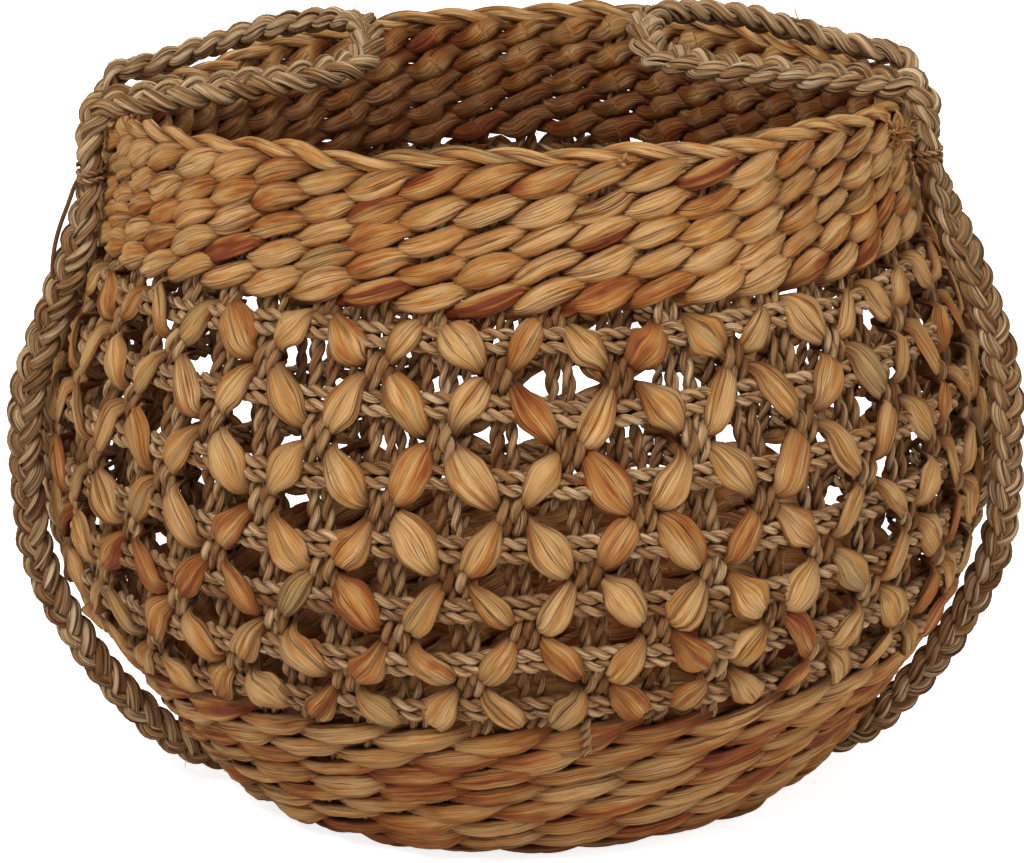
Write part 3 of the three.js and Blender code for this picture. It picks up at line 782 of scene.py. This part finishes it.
def leaf_strip_skin(row):
    """One strip round the basket: a row for each gap, a column for each step across it."""
    t = (np.arange(LEAF_STEPS) / LEAF_STEPS)[None]
    gap = np.arange(STAKES)[:, None]

    def each(low, high):
        """One random number for each gap."""
        return rng.uniform(low, high, (STAKES, 1))

    side = np.where((gap + row) % 2 == 1, 1, -1)
    rise_from = np.where(side > 0, leaf_node_rise(row, 1), leaf_node_rise(row, -1))
    rise_to = np.where(side > 0, leaf_node_rise(row, -1), leaf_node_rise(row, 1))
    middle = 0.5 - np.abs(t - 0.5)
    dive = np.where(side > 0, LEAF_DIVE, RISING_DIVE)
    seen = np.clip((t - dive) / (1 - 2 * dive), 0, 1)
    ease = seen * (1 - LEAF_EASE) + LEAF_EASE * seen * seen * (3 - 2 * seen)
    bend = each(-2.2, 2.2) * np.sin(np.pi * seen) + each(-1.6, 1.6) * np.sin(2 * np.pi * seen)
    rise = rise_from + (rise_to - rise_from) * ease + bend
    lift = np.clip((middle - dive) / 0.15, 0, 1)
    lift = lift * lift * (3 - 2 * lift)
    puff = each(0.75, 1.25)
    tip = dive + 0.03
    share = np.clip((t - tip) / (1 - 2 * tip), 0, 1)
    belly = np.sin(np.pi * share ** each(0.75, 1.25))
    depth = NODE_DEPTH + (LEAF_DEPTH - NODE_DEPTH + 1.2 * (puff - 1)) * lift
    width = LEAF_HALF_WIDTH * each(0.82, 1.2) * np.where(side > 0, 1.02, 0.95)
    ragged = 1 + 0.07 * np.sin(each(9, 20) * t + each(0, 6)) * belly
    half = LEAF_NODE_HALF + (width * ragged - LEAF_NODE_HALF) * belly ** each(0.75, 1.4)
    crown = LEAF_NODE_CROWN + (LEAF_CROWN * puff - LEAF_NODE_CROWN) * belly
    angle = (gap + t) * STEP
    tone = np.clip(rng.normal(0.5, 0.2, (STAKES, 1)), 0.25, 0.98)
    # Painted shade where the leaf narrows and dives behind its stake
    tuck = np.clip(1.25 - belly * 1.35, 0, 1) ** 1.4
    curl = rng.choice([-1.6, -0.8, 0, 0.8, 1.6], (STAKES, 1)) * belly
    folds = each(4, 9)
    phase = each(0, 6.28) + each(-4, 4) * t
    roll = each(-0.3, 0.3) * belly
    along = gap * LEAF_APART + t * LEAF_SPAN

    def flat(values):
        """One value for each step of the whole strip."""
        return np.broadcast_to(values, angle.shape).ravel()

    x, y = leaf_outline(flat(half), flat(crown), LEAF_BACK, flat(folds), flat(phase), flat(curl),
                        flat(roll))
    path = on_shell(flat(angle), round_s[row], flat(depth), flat(rise))
    out = off_shell(flat(angle), np.full(angle.size, round_s[row]), flat(depth))
    skin = swept_skin(path, out, x, y, closed=True, tone=flat(tone),
                      tuck=flat(tuck)[:, None] + EDGE_SHADE, along=flat(along), seed=row * 3.1)
    return shaded(skin, WALL_SHADE_REACH)


for row in range(len(ROUND_HEIGHTS)):
    make_piece(f"leaf_strip_{row + 1}_leaves", [leaf_strip_skin(row)], "hyacinth_leaf",
               [f"leaf_strip_{row + 1}"])
print("leaves:", STAKES * len(ROUND_HEIGHTS), "faces a strip:", faces_made["leaf_strip_1_leaves"])

# %% [markdown]
# ## Twined rounds
#
# The collar, the base and the floor are twined: two strands of hyacinth go round together and
# half turn about each other between any two stakes, so one is in front of a stake while the
# other is behind it. All the front bulges then lean the same way. The strand's depth follows a
# cosine of the half turns. Its width, crown, height and shade follow four short tables over the
# way from the front of one stake to the back of the next: fat in front, pinched and steep in
# the crossing. That gives the plaited look that a plain twist doesn't have. Some bulges are
# stained dark, and one edge of them has stayed straw-coloured.

# %% Shape of a twined strand
SPINDLE_AT = (0, 0.2, 0.4, 0.5, 0.65, 0.8, 1)  # 0 in front of a stake, 1 behind the next one
SPINDLE_HALF = (1, 0.95, 0.73, 0.61, 0.74, 0.94, 1)
SPINDLE_CROWN = (1, 1, 1.1, 1.2, 1.15, 1.05, 1)
SPINDLE_RISE = (0, 0.42, 0.8, 0.92, 0.94, 0.66, 0)
# painted shade, most where the strand crosses behind a stake
SPINDLE_SHADE = (0, 0, 0.1, 0.35, 0.8, 0.35, 0.1)


def carried(values, front, t):
    """A front bulge's value, kept out to both of its tips. It changes behind a stake."""
    share = np.clip(t / 0.3 + 0.5, 0, 1)
    behind = np.roll(values, 1, 0) * (1 - share) + np.roll(values, -1, 0) * share
    return np.where(front, values, behind)


# %% Twine two strands round the stakes
TWINE_STEPS = 20
BULGE_ARC = 26
CROSSING_OUT = 1.3
TWINE_SHADE_REACH = 3.4
STAINED_TONE = 0.03
STAIN_STRAW = 0.62


def twined_round(s, half_turns, depth, lean, half, crown, seed, tone_mean=0.48, stained=(), inside=0.0):
    """Two strands at one height. The inside share paints shade on the bulges that face into the basket.
    """
    t = (np.arange(TWINE_STEPS) / TWINE_STEPS)[None] - 0.5
    turn = np.arange(half_turns)[:, None]
    swing = np.cos(np.pi * t)

    def flat(values):
        """One value for each step of the whole round."""
        return np.broadcast_to(values, (half_turns, TWINE_STEPS)).ravel()

    skins = []
    for strand in range(2):
        front = (turn + strand) % 2 == 0
        face = np.where(front, 1, -1)
        u = np.where(front, np.abs(t), 1 - np.abs(t))

        def spindle(shares):
            """A spindle table's value on the way from the front to the back."""
            return np.interp(u, SPINDLE_AT, shares)

        def each(low, high):
            """One random number for each bulge."""
            return carried(rng.uniform(low, high, (half_turns, 1)), front, t)

        puff = 1 + (each(0.72, 1.2) - 1) * swing
        off = depth * np.cos(np.pi * u) + CROSSING_OUT * np.sin(np.pi * u)
        rise = face * lean * np.sign(t) * spindle(SPINDLE_RISE) + each(-1.2, 1.2) * swing
        angle = (turn + t + each(-0.07, 0.07) * swing) * 2 * np.pi / half_turns
        tone = np.clip(rng.normal(tone_mean, 0.18, (half_turns, 1)), 0.2, 0.94)
        tone[list(stained)] = STAINED_TONE
        tone = flat(carried(tone, front, t))
        bulge = np.where(front, turn, np.where(t < 0, turn - 1, turn + 1) % half_turns)
        along = bulge * LEAF_APART + BULGE_ARC * np.where(front, t, t - np.sign(t + 1e-6))
        curl = carried(rng.choice([-1.1, 0, 0, 0, 1.1], (half_turns, 1)), front, t) * swing
        folds = each(4, 8)
        phase = each(0, 6) + 2 * t
        roll = each(-0.2, 0.2)
        widths = flat(half * spindle(SPINDLE_HALF) * puff)
        crowns = flat(crown * spindle(SPINDLE_CROWN) * puff)
        x, y = leaf_outline(widths, crowns, 1.0, flat(folds), flat(phase), flat(curl), flat(roll))
        path = on_shell(flat(angle), s, flat(off), flat(rise))
        out = off_shell(flat(angle), np.full(angle.size, s), flat(off))
        # Painted shade on the bulges that face into the basket, added to the crossings' and edges'
        # painted shade
        painted_inside_shade = inside * np.clip(-np.cos(np.pi * u), 0, 1) ** 0.5
        tuck = flat(spindle(SPINDLE_SHADE) + painted_inside_shade)[:, None] + EDGE_SHADE
        is_stained = (tone < 0.1)[:, None]
        streaked = tone[:, None] + STAIN_STRAW * np.clip(LEAF_ACROSS * 1.5, 0, 1) * is_stained
        skin = swept_skin(path, out, x, y, closed=True, tone=streaked, tuck=tuck, along=flat(along),
                          seed=seed + 0.5 * strand)
        skins.append(shaded(skin, TWINE_SHADE_REACH))
    return skins


# %% Collar
COLLAR_ROUNDS = 5
STAINED_BULGES = {0: (40,), 2: (38,), 4: (34, 36, 42)}  # round, and its stained half turns
RIM_STRAND_S = RIM_S - 4.5
COLLAR_TOP_S = RIM_STRAND_S - 2.5
SHADE_PER_ROUND = 0.23
collar_pitch = (COLLAR_TOP_S - COLLAR_FOOT_S) / COLLAR_ROUNDS
for row in range(COLLAR_ROUNDS):
    s = COLLAR_TOP_S - (row + 0.5) * collar_pitch
    skins = twined_round(s, STAKES, depth=4.3, lean=4.1, half=collar_pitch * 0.53, crown=3.0,
                         seed=200 + row, stained=STAINED_BULGES.get(row, ()),
                         inside=SHADE_PER_ROUND * row)
    make_piece(f"collar_twine_{row + 1}", skins, "hyacinth_leaf", [f"collar_round_{row + 1}"])
print("collar pitch", round(collar_pitch, 1), "mm")

# %% [markdown]
# The rim is one thick twist of two long leaves, laid on the collar's last round. Where a leaf
# ends, its fibres stick out and curl. Three such frayed ends stand on this rim.

# %% Rim strand and its frayed ends
RIM_STEP = 2


def rim_skins():
    circle = 2 * math.pi * profile[int(RIM_STRAND_S), 0]
    angle = np.linspace(0, 2 * np.pi, int(circle / RIM_STEP), endpoint=False)
    path = on_shell(angle, RIM_STRAND_S, 0.4 * np.sin(9 * angle), 0.8 * np.sin(14 * angle))
    out = off_shell(angle, np.full(len(angle), RIM_STRAND_S), 0)
    return wound_cord(path, out, ply_radius=2.8, orbit=2.0, lay=46, closed=True, sides=20,
                      wrinkle=0.22, tone=0.62, seed=300)


def ribbon(root, way, width, length, seed):
    """A dry strip of leaf that curls over as it leaves its root."""
    run = np.linspace(0, 1, 9)[:, None]
    aside = unit(np.cross(way, rng.normal(0, 1, 3)))
    curl = rng.uniform(0.4, 1.0) * length
    path = root + way * length * np.sin(1.5 * run) / 1.5 + aside * curl * run**2
    ring = ring_angles(8)
    narrow = width * (1 - 0.6 * run)
    y = 0.22 * np.sin(ring) + 0.25 * narrow * np.cos(ring) ** 2
    # Painted shade darkens each ribbon towards its root
    return swept_skin(path, np.broadcast_to(aside, path.shape), narrow * np.cos(ring), y,
                      tone=rng.uniform(0.42, 0.66), tuck=0.4 * (1 - run[:, 0]), seed=seed)


def frayed_end(degrees, below, depth, count, length, seed):
    """A tuft of ribbons at an angle round the rim, some mm below the rim strand."""
    where = (math.radians(degrees), RIM_STRAND_S - below, depth)
    root = on_shell(*where)
    out = off_shell(*where)
    skins = []
    for k in range(count):
        way = out * rng.uniform(0.2, 1.0)
        way = way + np.array([0, 0, 1]) * rng.uniform(-0.4, 1.0)
        way = unit(way + rng.normal(0, 0.35, 3))
        start = root + rng.normal(0, 2.0, 3)
        width = rng.uniform(0.9, 2.6)
        skins.append(ribbon(start, way, width, length * rng.uniform(0.5, 1), seed + k))
    return skins


ends = frayed_end(-21, below=8, depth=8, count=34, length=10, seed=700)
ends += frayed_end(-164, below=0, depth=4, count=9, length=9, seed=740)
ends += frayed_end(-72, below=1, depth=4, count=5, length=7, seed=760)
make_piece("rim_twist", rim_skins() + ends, "hyacinth_leaf", ["rim_strand"])
print("rim faces", faces_made["rim_twist"])

# %% [markdown]
# ## Base and floor
#
# The same twining goes on below the open wall, down the bowl and in under the basket to the
# centre. The bulges keep their size while the circles shrink, so towards the centre the two
# strands take fewer half turns to a round. The floor starts from a small coil.

# %% Bowl and floor
BASE_PITCH = 12.6
BULGE_LENGTH = 34
BOWL_REACH = 105
FLOOR_REACH = 4
BASE_CROWN = 2.5
# painted shade on the base's bulges that face inwards
BASE_INSIDE_SHADE = 0.4
COIL_STEPS = 60


def base_turns(s):
    """Half turns to a round, an even number, so that the two strands meet themselves again."""
    radius = np.interp(s, profile_s, profile[:, 0])
    return 2 * max(3, int(round(radius * np.pi / BULGE_LENGTH)))


def pressed_flat(skin):
    """The same skin as the basket's weight presses it on the ground: nothing is below it."""
    points = skin[0].copy()
    points[:, 2] = np.where(points[:, 2] < 1, np.exp(points[:, 2] - 1), points[:, 2])
    return (points, *skin[1:])


bowl_at = np.arange(BOWL_TOP_S - BASE_PITCH / 2, BOWL_TOP_S - BOWL_REACH, -BASE_PITCH)
bowl_skins = []
for i, s in enumerate(bowl_at):
    bowl_skins += twined_round(s, base_turns(s), depth=3.7, lean=3.7, half=BASE_PITCH * 0.57,
                               crown=BASE_CROWN, seed=320 + i, tone_mean=0.4, inside=BASE_INSIDE_SHADE)
bowl_skins = [pressed_flat(skin) for skin in bowl_skins]
make_piece("bowl_twine", bowl_skins, "hyacinth_base", ["base_bowl"])


def floor_start():
    """The coil that the floor's twining starts from."""
    turn = np.linspace(0, 3.6 * np.pi, COIL_STEPS)
    radius = 1 + 5.2 * turn / (2 * np.pi)
    even = np.ones(COIL_STEPS)
    path = np.stack([radius * np.cos(turn), radius * np.sin(turn), FLOOR_MIDDLE * even], -1)
    x, y = leaf_outline(3.6 * even, 2.4 * even, 1.0, 5 * even, turn, 0 * even, 0.12 * even)
    return swept_skin(path, np.broadcast_to([0, 0, 1], path.shape), x, y, tone=0.35,
                      tuck=np.tile(EDGE_SHADE, (COIL_STEPS, 1)), seed=349)


floor_skins = [floor_start()]
for i, s in enumerate(np.arange(bowl_at[-1] - BASE_PITCH, FLOOR_REACH, -BASE_PITCH)):
    floor_skins += twined_round(s, base_turns(s), depth=1.3, lean=2.6, half=BASE_PITCH * 0.63,
                                crown=BASE_CROWN, seed=350 + i, tone_mean=0.42, inside=BASE_INSIDE_SHADE)
floor_skins = [pressed_flat(skin) for skin in floor_skins]
make_piece("floor_twine", floor_skins, "hyacinth_base", ["base_floor"])
print("base rounds", len(bowl_at), "faces", faces_made["bowl_twine"], faces_made["floor_twine"])

# %% [markdown]
# ## Stray fibres
#
# Dry grass frays. Short hairs stand off the ropes and the cords, and they catch the light at
# the edges of the basket. Each one is a thin curved tube that starts inside a strand.


# %% Hairs along a path
HAIR_RADIUS = 0.22


def hair_skin(root, way, reach, seed):
    """One bent hair. It leaves along way and droops to a side."""
    run = np.linspace(0, 1, 6)[:, None]
    aside = unit(np.cross(way, rng.normal(0, 1, 3)))
    path = root + way * reach * run + aside * reach * rng.uniform(0.1, 0.5) * run**2
    thin = HAIR_RADIUS * (1 - 0.7 * run)
    return tube_skin(path, aside, thin, 4, tone=rng.uniform(0.3, 0.9), seed=seed)


def hairs_along(path, out, count, start_off, reach):
    """Hairs at random places of a path. They start some mm off its middle."""
    skins = []
    tangent = unit(np.gradient(path, axis=0))
    for k in range(count):
        i = rng.integers(2, len(path) - 2)
        away = unit(out[i] + rng.normal(0, 0.7, 3))
        way = unit(tangent[i] * rng.choice([-1, 1]) + away * rng.uniform(0.25, 0.9))
        length = rng.uniform(0.4, 1) * reach
        skins.append(hair_skin(path[i] + away * start_off, way, length, 600 + k))
    return skins


# %% [markdown]
# ## Handle ropes
#
# Each handle is one long braid of seagrass. It comes out of the base, stands a little off the
# belly, bends over the rim and returns as a loop. The frame cuts it at the rim, because a
# loop has to swing, but here it is one rope, and it rides on no body of the frame. A flat
# braid has three strands that swing from side to side, and each crosses over the middle one:
# a sine across, and a sine at twice the rate in thickness.

# %% Route of a handle rope
ROPE_SPREAD = 38
ROPE_ANGLE = math.asin(ROPE_SPREAD / 184)
ROPE_STEP = 1.5
HINGE = {joint["child"]: Vector(joint["pos_m"]) / MM for joint in frame["joints"]}
ROPE_OFF = [  # height of the wall point, distance of the rope's middle from the stakes
    (8, -4),
    (17, 5),
    (30, 11.5),
    (46, 15.2),
    (81, 17.8),
    (116, 19.6),
    (151, 20),
    (190, 20),
    (217.5, 18),
    (255, 16.2),
    (290, 15.4),
]
RIGHT_ROPE_BOW = 4
BOW_HEIGHT = 238
BOW_REACH = 30
LOOP_TIP = (118, 21)  # inwards, up
LOOP_FROM_HINGE = [  # inwards, sideways, up
    (15, 38, 2.0),
    (47, 39, 6),
    (78, 36, 9),
    (101, 29.5, 11.5),
    (115.5, 13.5, 14),
]
REAR_LEG_LIFT = 13
ARCH_REACH = 142


def handle_route(side, hinge):
    """The rope's middle line from the front foot over the rim, round the loop and to the rear foot."""
    legs = {}
    for end in (-1, 1):
        leg = [side_point(side, end, z, off + bow(side, z)) for z, off in ROPE_OFF]
        leg.append((hinge.x + side * 2.5, end * ROPE_SPREAD, hinge.z - 8))
        leg.append((hinge.x - side * 2.5, end * ROPE_SPREAD, hinge.z + 0.5))
        for inwards, sideways, up in LOOP_FROM_HINGE:
            lift = REAR_LEG_LIFT if end > 0 else 0
            arch = lift * math.sin(math.pi * (inwards / ARCH_REACH) ** 1.6)
            leg.append((hinge.x - side * inwards, end * sideways, hinge.z + up + arch))
        legs[end] = leg
    tip = (hinge.x - side * LOOP_TIP[0], 0, hinge.z + LOOP_TIP[1])
    return smooth_through(legs[-1] + [tip] + legs[1][::-1], ROPE_STEP)


def bow(side, z):
    """The right rope is tauter under its tie than the left one, so it stands further off the neck."""
    return RIGHT_ROPE_BOW * math.exp(-(((z - BOW_HEIGHT) / BOW_REACH) ** 2)) if side > 0 else 0


def side_point(side, end, z, off):
    """A point off the wall on a rope's own line, which doesn't lean with the wall."""
    s = float(s_at_height(z))
    x, y, height = on_shell(end * ROPE_ANGLE - hand_lean(s), s, off)
    return (side * x, y, height)


# %% Braid three strands, each a bundle of grass
STRANDS = 3
BLADES = 11
BRAID_LAY = 35
BLADE_LAY = 48
BRAID_HALF = 4.8
BRAID_DEEP = 2.2
BUNDLE_RADIUS = 2.8
SHADOW_CORE_RADIUS = 2.3
ROPE_TAPER = 34
# painted shade on the side ropes, below the rim
ROPE_SIDE_SHADE = 0.17
SIDE_SHADE_FROM, SIDE_SHADE_OVER = 300, 60


def braid_skins(path, out, seed):
    """Three strands of grass blades. The side ropes get painted shade below the rim, so they are darker
    than the loops.
    """
    # Painted shade grows below the rim: it lowers the side ropes' tone and deepens their edges' shade
    on_side = np.clip((SIDE_SHADE_FROM - path[:, 2]) / SIDE_SHADE_OVER, 0, 1)
    rope_side_shade = ROPE_SIDE_SHADE * on_side
    across, up = frames_along(path, out, False)
    run = np.arange(len(path)) * ROPE_STEP
    thin = 0.3 + 0.7 * np.clip(np.minimum(run, run[-1] - run) / ROPE_TAPER, 0, 1) ** 0.7
    ring = ring_angles(8)
    folded = 0.7 * np.sin(ring) + 0.2 * np.cos(2 * ring)
    skins = []
    for strand in range(STRANDS):
        swing = 2 * np.pi * (run / BRAID_LAY + strand / STRANDS)
        aside = BRAID_HALF * thin * np.sin(swing)
        above = BRAID_DEEP * thin * np.sin(2 * swing)
        centre = path + aside[:, None] * across + above[:, None] * up
        side, lift = frames_along(centre, up, False)
        # Painted shade at each blade's edges and where a strand passes under another, stronger on the
        # side ropes
        under = np.clip(-np.sin(2 * swing), 0, 1) * np.abs(np.cos(swing))
        edge = (0.36 + 0.24 * on_side)[:, None] * np.abs(np.cos(ring)) ** 3
        edge = np.clip(edge + ((0.3 + 0.2 * on_side) * under + rope_side_shade)[:, None], 0, 1)
        for blade in range(BLADES):
            roll = 2 * np.pi * (run / BLADE_LAY + blade / BLADES)
            roll = roll + 0.5 * np.sin(run / rng.uniform(9, 20) + blade)
            wander = 0.45 * np.sin(run / rng.uniform(6, 14) + rng.uniform(0, 6))
            reach = thin * (BUNDLE_RADIUS + 0.5 * np.sin(run / 17 + 2.1 * blade + strand) + wander)
            away = np.cos(roll)[:, None] * side + 0.85 * np.sin(roll)[:, None] * lift
            half = rng.uniform(0.9, 1.5) * (1 + 0.3 * np.sin(run / rng.uniform(7, 15) + 1.7 * blade))
            tone = np.clip(rng.normal(0.66, 0.2) + 0.15 * np.sin(run / 12 + blade) - rope_side_shade, 0, 1)
            x = half[:, None] * np.cos(ring)
            y = np.broadcast_to(folded, x.shape)
            skins.append(swept_skin(centre + reach[:, None] * away, away, x, y, tone=tone, tuck=edge,
                                    seed=seed + strand + 0.1 * blade))
        # A dark tube in painted shade fills the middle of the braid, where only shade shows between the
        # strands
        shadow_core = SHADOW_CORE_RADIUS * thin[:, None]
        skins.append(tube_skin(centre, lift, shadow_core, 8, tone=0.3, tuck=0.9, seed=seed))
    return skins


# %% Which way the braid's flat face looks
RIM_BEND_FROM, RIM_BEND_OVER = 296, 24
TURN_FROM, TURN_OVER = 284, 30
FACE_TURN = math.radians(66)
FRONT_LEG_OUT = np.array([0, -0.55, 0.85])
REAR_LEG_OUT = np.array([0, 0.3, 0.95])
LEG_BLEND = 30


def rope_out(path, side):
    """The way the braid's flat face looks: out at the tie, turned to its end below, up on the loop.

    The loop's front leg shows its face to the front, and the rear leg shows its narrow edge.
    """
    height = path[:, 2]
    over_rim = np.clip((height - RIM_BEND_FROM) / RIM_BEND_OVER, 0, 1)[:, None]
    turned = FACE_TURN * np.clip((TURN_FROM - height) / TURN_OVER, 0, 1)
    towards_end = np.sign(path[:, 1]) * np.sin(turned)
    level = np.stack([side * np.cos(turned), towards_end, np.zeros(len(path))], -1)
    rear = np.clip(path[:, 1] / LEG_BLEND + 0.5, 0, 1)[:, None]
    raised = FRONT_LEG_OUT * (1 - rear) + REAR_LEG_OUT * rear
    return unit(level * (1 - over_rim) + raised * over_rim)


# %% Handle ropes, each one piece from foot to foot
ROPE_HAIRS = 260
BEND_END = (-7, 2)

for side, name in ((-1, "left"), (1, "right")):
    hinge = HINGE[f"{name}_handle"]
    path = handle_route(side, hinge)
    nodes = [f"{name}_front_side_rope", f"{name}_rear_side_rope", f"{name}_handle_loop"]
    out = rope_out(path, side)
    skins = braid_skins(path, out, 400 + side)
    skins += hairs_along(path, out, ROPE_HAIRS, start_off=3.5, reach=11)
    braid = make_piece(f"{name}_handle_braid", skins, "braided_rope", nodes, body=None)
    end = Vector((hinge.x + side * BEND_END[0], 0, hinge.z + BEND_END[1])) * MM
    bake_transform(braid)
    print(name, "rope", round(len(path) * ROPE_STEP), "mm, faces", faces_made[braid.name])

# %% [markdown]
# ## Ties
#
# Thin twine binds each rope to the collar. It takes two and a half turns round the rope. The
# left front tie has kept its tail, which hangs in a bow beside the rope.

# %% Twine ties
TIE_HEIGHT = 290
TIE_OFF = 15
TIE_HALF_X, TIE_HALF_Y, TIE_TALL = 5.9, 8.6, 8
TIE_END = 5 * np.pi
TAIL_RADIUS = 1.1
TAIL_OFF = [(293, 17), (286, 21), (272, 24), (258, 25.8), (246, 25.5), (234, 22), (228, 17)]


def tie_skins(side, end):
    centre = np.array(side_point(side, end, TIE_HEIGHT, TIE_OFF))
    turn = np.linspace(0, TIE_END, 90)
    rise = turn / TIE_END * TIE_TALL - TIE_TALL / 2
    loop = np.stack([TIE_HALF_X * np.cos(turn), TIE_HALF_Y * np.sin(turn), rise], -1)
    out = unit(loop * [1, 1, 0])
    return wound_cord(centre + loop, out, ply_radius=0.75, orbit=0.6, lay=7, tone=0.4,
                      seed=500 + side + 0.3 * end)


def tail_skin():
    """The left tie's long end. It stands off the outside of the rope and runs back in."""
    path = smooth_through([side_point(-1, -1, z, off) for z, off in TAIL_OFF], 2.0)
    # The tail carries painted shade all along
    thick = np.full((len(path), 1), TAIL_RADIUS)
    return tube_skin(path, [0, -1, 0], thick, 6, tone=0.1, tuck=0.7, seed=530)


for side, name in ((-1, "left"), (1, "right")):
    for end, where in ((-1, "front"), (1, "rear")):
        skins = tie_skins(side, end)
        if (side, end) == (-1, -1):
            skins.append(tail_skin())
        make_piece(f"{name}_{where}_twine", skins, "seagrass_cord", [f"{name}_{where}_tie"])
print("tie faces", faces_made["right_front_twine"], "with tail", faces_made["left_front_twine"])

# %% [markdown]
# The wall's cords fray as the ropes do. Their hairs are one object that rides on the basket.
# One cord's cut end hangs over the bowl in front, a little to the right of the middle.

# %% Hairs on the wall's cords, and a loose end
HAIRS_A_ROUND = 60
HAIRS_A_STAKE = 8
HAIR_START = 2.0
LOOSE_DEGREES = -84
LOOSE_STEPS = 16
LOOSE_START = 7
LOOSE_LENGTH = 18

wall_hairs = []
for row in range(len(ROUND_HEIGHTS)):
    angle = np.linspace(0, 2 * np.pi, 1000)
    level = np.full(len(angle), round_s[row])
    cord = on_shell(angle, level, ROUND_DEPTH)
    wall_hairs += hairs_along(cord, off_shell(angle, level, 0), HAIRS_A_ROUND, HAIR_START, reach=9)
for stake in range(STAKES):
    s = np.arange(BOWL_TOP_S, COLLAR_FOOT_S, 1.0)
    angle = np.full(len(s), stake * STEP)
    cord = on_shell(angle, s, 0)
    wall_hairs += hairs_along(cord, off_shell(angle, s, 0), HAIRS_A_STAKE, HAIR_START, reach=8)
make_piece("wall_hairs", wall_hairs, "seagrass_cord")

run = np.linspace(0, 1, LOOSE_STEPS)
angle = np.full(LOOSE_STEPS, math.radians(LOOSE_DEGREES))
s = BOWL_TOP_S + LOOSE_START - LOOSE_LENGTH * run
loose_end = wound_cord(on_shell(angle, s, 5 + 3.5 * run), off_shell(angle, s, 0), ply_radius=1.4,
                       orbit=1.1, lay=9, tone=0.5, seed=690)
make_piece("loose_cord_end", loose_end, "seagrass_cord")
print("hairs", len(wall_hairs))

# %% [markdown]
# ## Light and ground
#
# The photograph is a plain product shot: soft light from above and in front, and a white
# ground. The world lights evenly and weakly, and three large soft lamps give the leaves their
# form. Light Path tells the camera's own rays from the light on the object, so the world and
# the paper look white without lighting the basket more. The paper keeps the basket's shadow.

# %% Soft lamps
LOOKED_AT = Vector((0, 0, 0.15))


def soft_lamp(name, place, size, watts):
    """A square lamp that faces the basket. place and size are in metres."""
    data = bpy.data.lights.new(name, "AREA")
    data.energy = watts
    data.size = size
    lamp = bpy.data.objects.new(name, data)
    lamp.location = place
    lamp.rotation_euler = (LOOKED_AT - Vector(place)).to_track_quat("-Z", "Y").to_euler()
    bpy.context.scene.collection.objects.link(lamp)


soft_lamp("key_softbox", (-0.7, -1.5, 1.9), 1.0, 37)
soft_lamp("fill_softbox", (1.4, -1.2, 0.9), 1.4, 9)
soft_lamp("back_softbox", (0.6, 1.7, 1.7), 1.4, 26)
print("looked at by every lamp:", tuple(LOOKED_AT))

# %% A world that looks white and lights weakly
WORLD_LIGHT = 0.22
WHITE = "#FFFFFF"


def seen_directly(tree):
    """1 for what the camera sees straight, in a gloss or through glass. 0 for light on the object."""
    rays = add_node(tree, "ShaderNodeLightPath", {}).outputs
    seen = rays["Is Camera Ray"]
    for kind in ("Is Glossy Ray", "Is Transmission Ray"):
        seen = add_node(tree, "ShaderNodeMath", {0: seen, 1: rays[kind]}, operation="MAXIMUM").outputs[0]
    return seen


world = bpy.data.worlds.new("even_studio")
bpy.context.scene.world = world
world.use_nodes = True
tree = world.node_tree
background = tree.nodes["Background"]
strength = add_node(tree, "ShaderNodeMapRange", {
    "Value": seen_directly(tree), "To Min": WORLD_LIGHT, "To Max": 1.0,
})
tree.links.new(strength.outputs["Result"], background.inputs["Strength"])
background.inputs["Color"].default_value = linear(WHITE)
print("world light", WORLD_LIGHT)

# %% Paper floor
PAPER = "#F4F4F4"
PAPER_GLOW = "#EAEAEA"


def floor_sheet():
    """A wide sheet of paper, half a millimetre under the basket."""
    bpy.ops.mesh.primitive_plane_add(size=12, location=(0, 0, -0.5 * MM))
    sheet = bpy.context.object
    sheet.name = "studio_floor"
    paper = bpy.data.materials.new("white_studio_paper")
    paper.use_nodes = True
    shader = paper.node_tree.nodes["Principled BSDF"]
    shader.inputs["Base Color"].default_value = linear(PAPER)
    shader.inputs["Roughness"].default_value = 0.9
    paper.node_tree.links.new(seen_directly(paper.node_tree), shader.inputs["Emission Strength"])
    shader.inputs["Emission Color"].default_value = linear(PAPER_GLOW)
    sheet.data.materials.append(paper)
    print("paper", round(sheet.dimensions.x), "m wide")


floor_sheet()
bpy.context.scene.view_settings.view_transform = "Standard"

# %% Faces in all
print("faces in all:", sum(faces_made.values()))
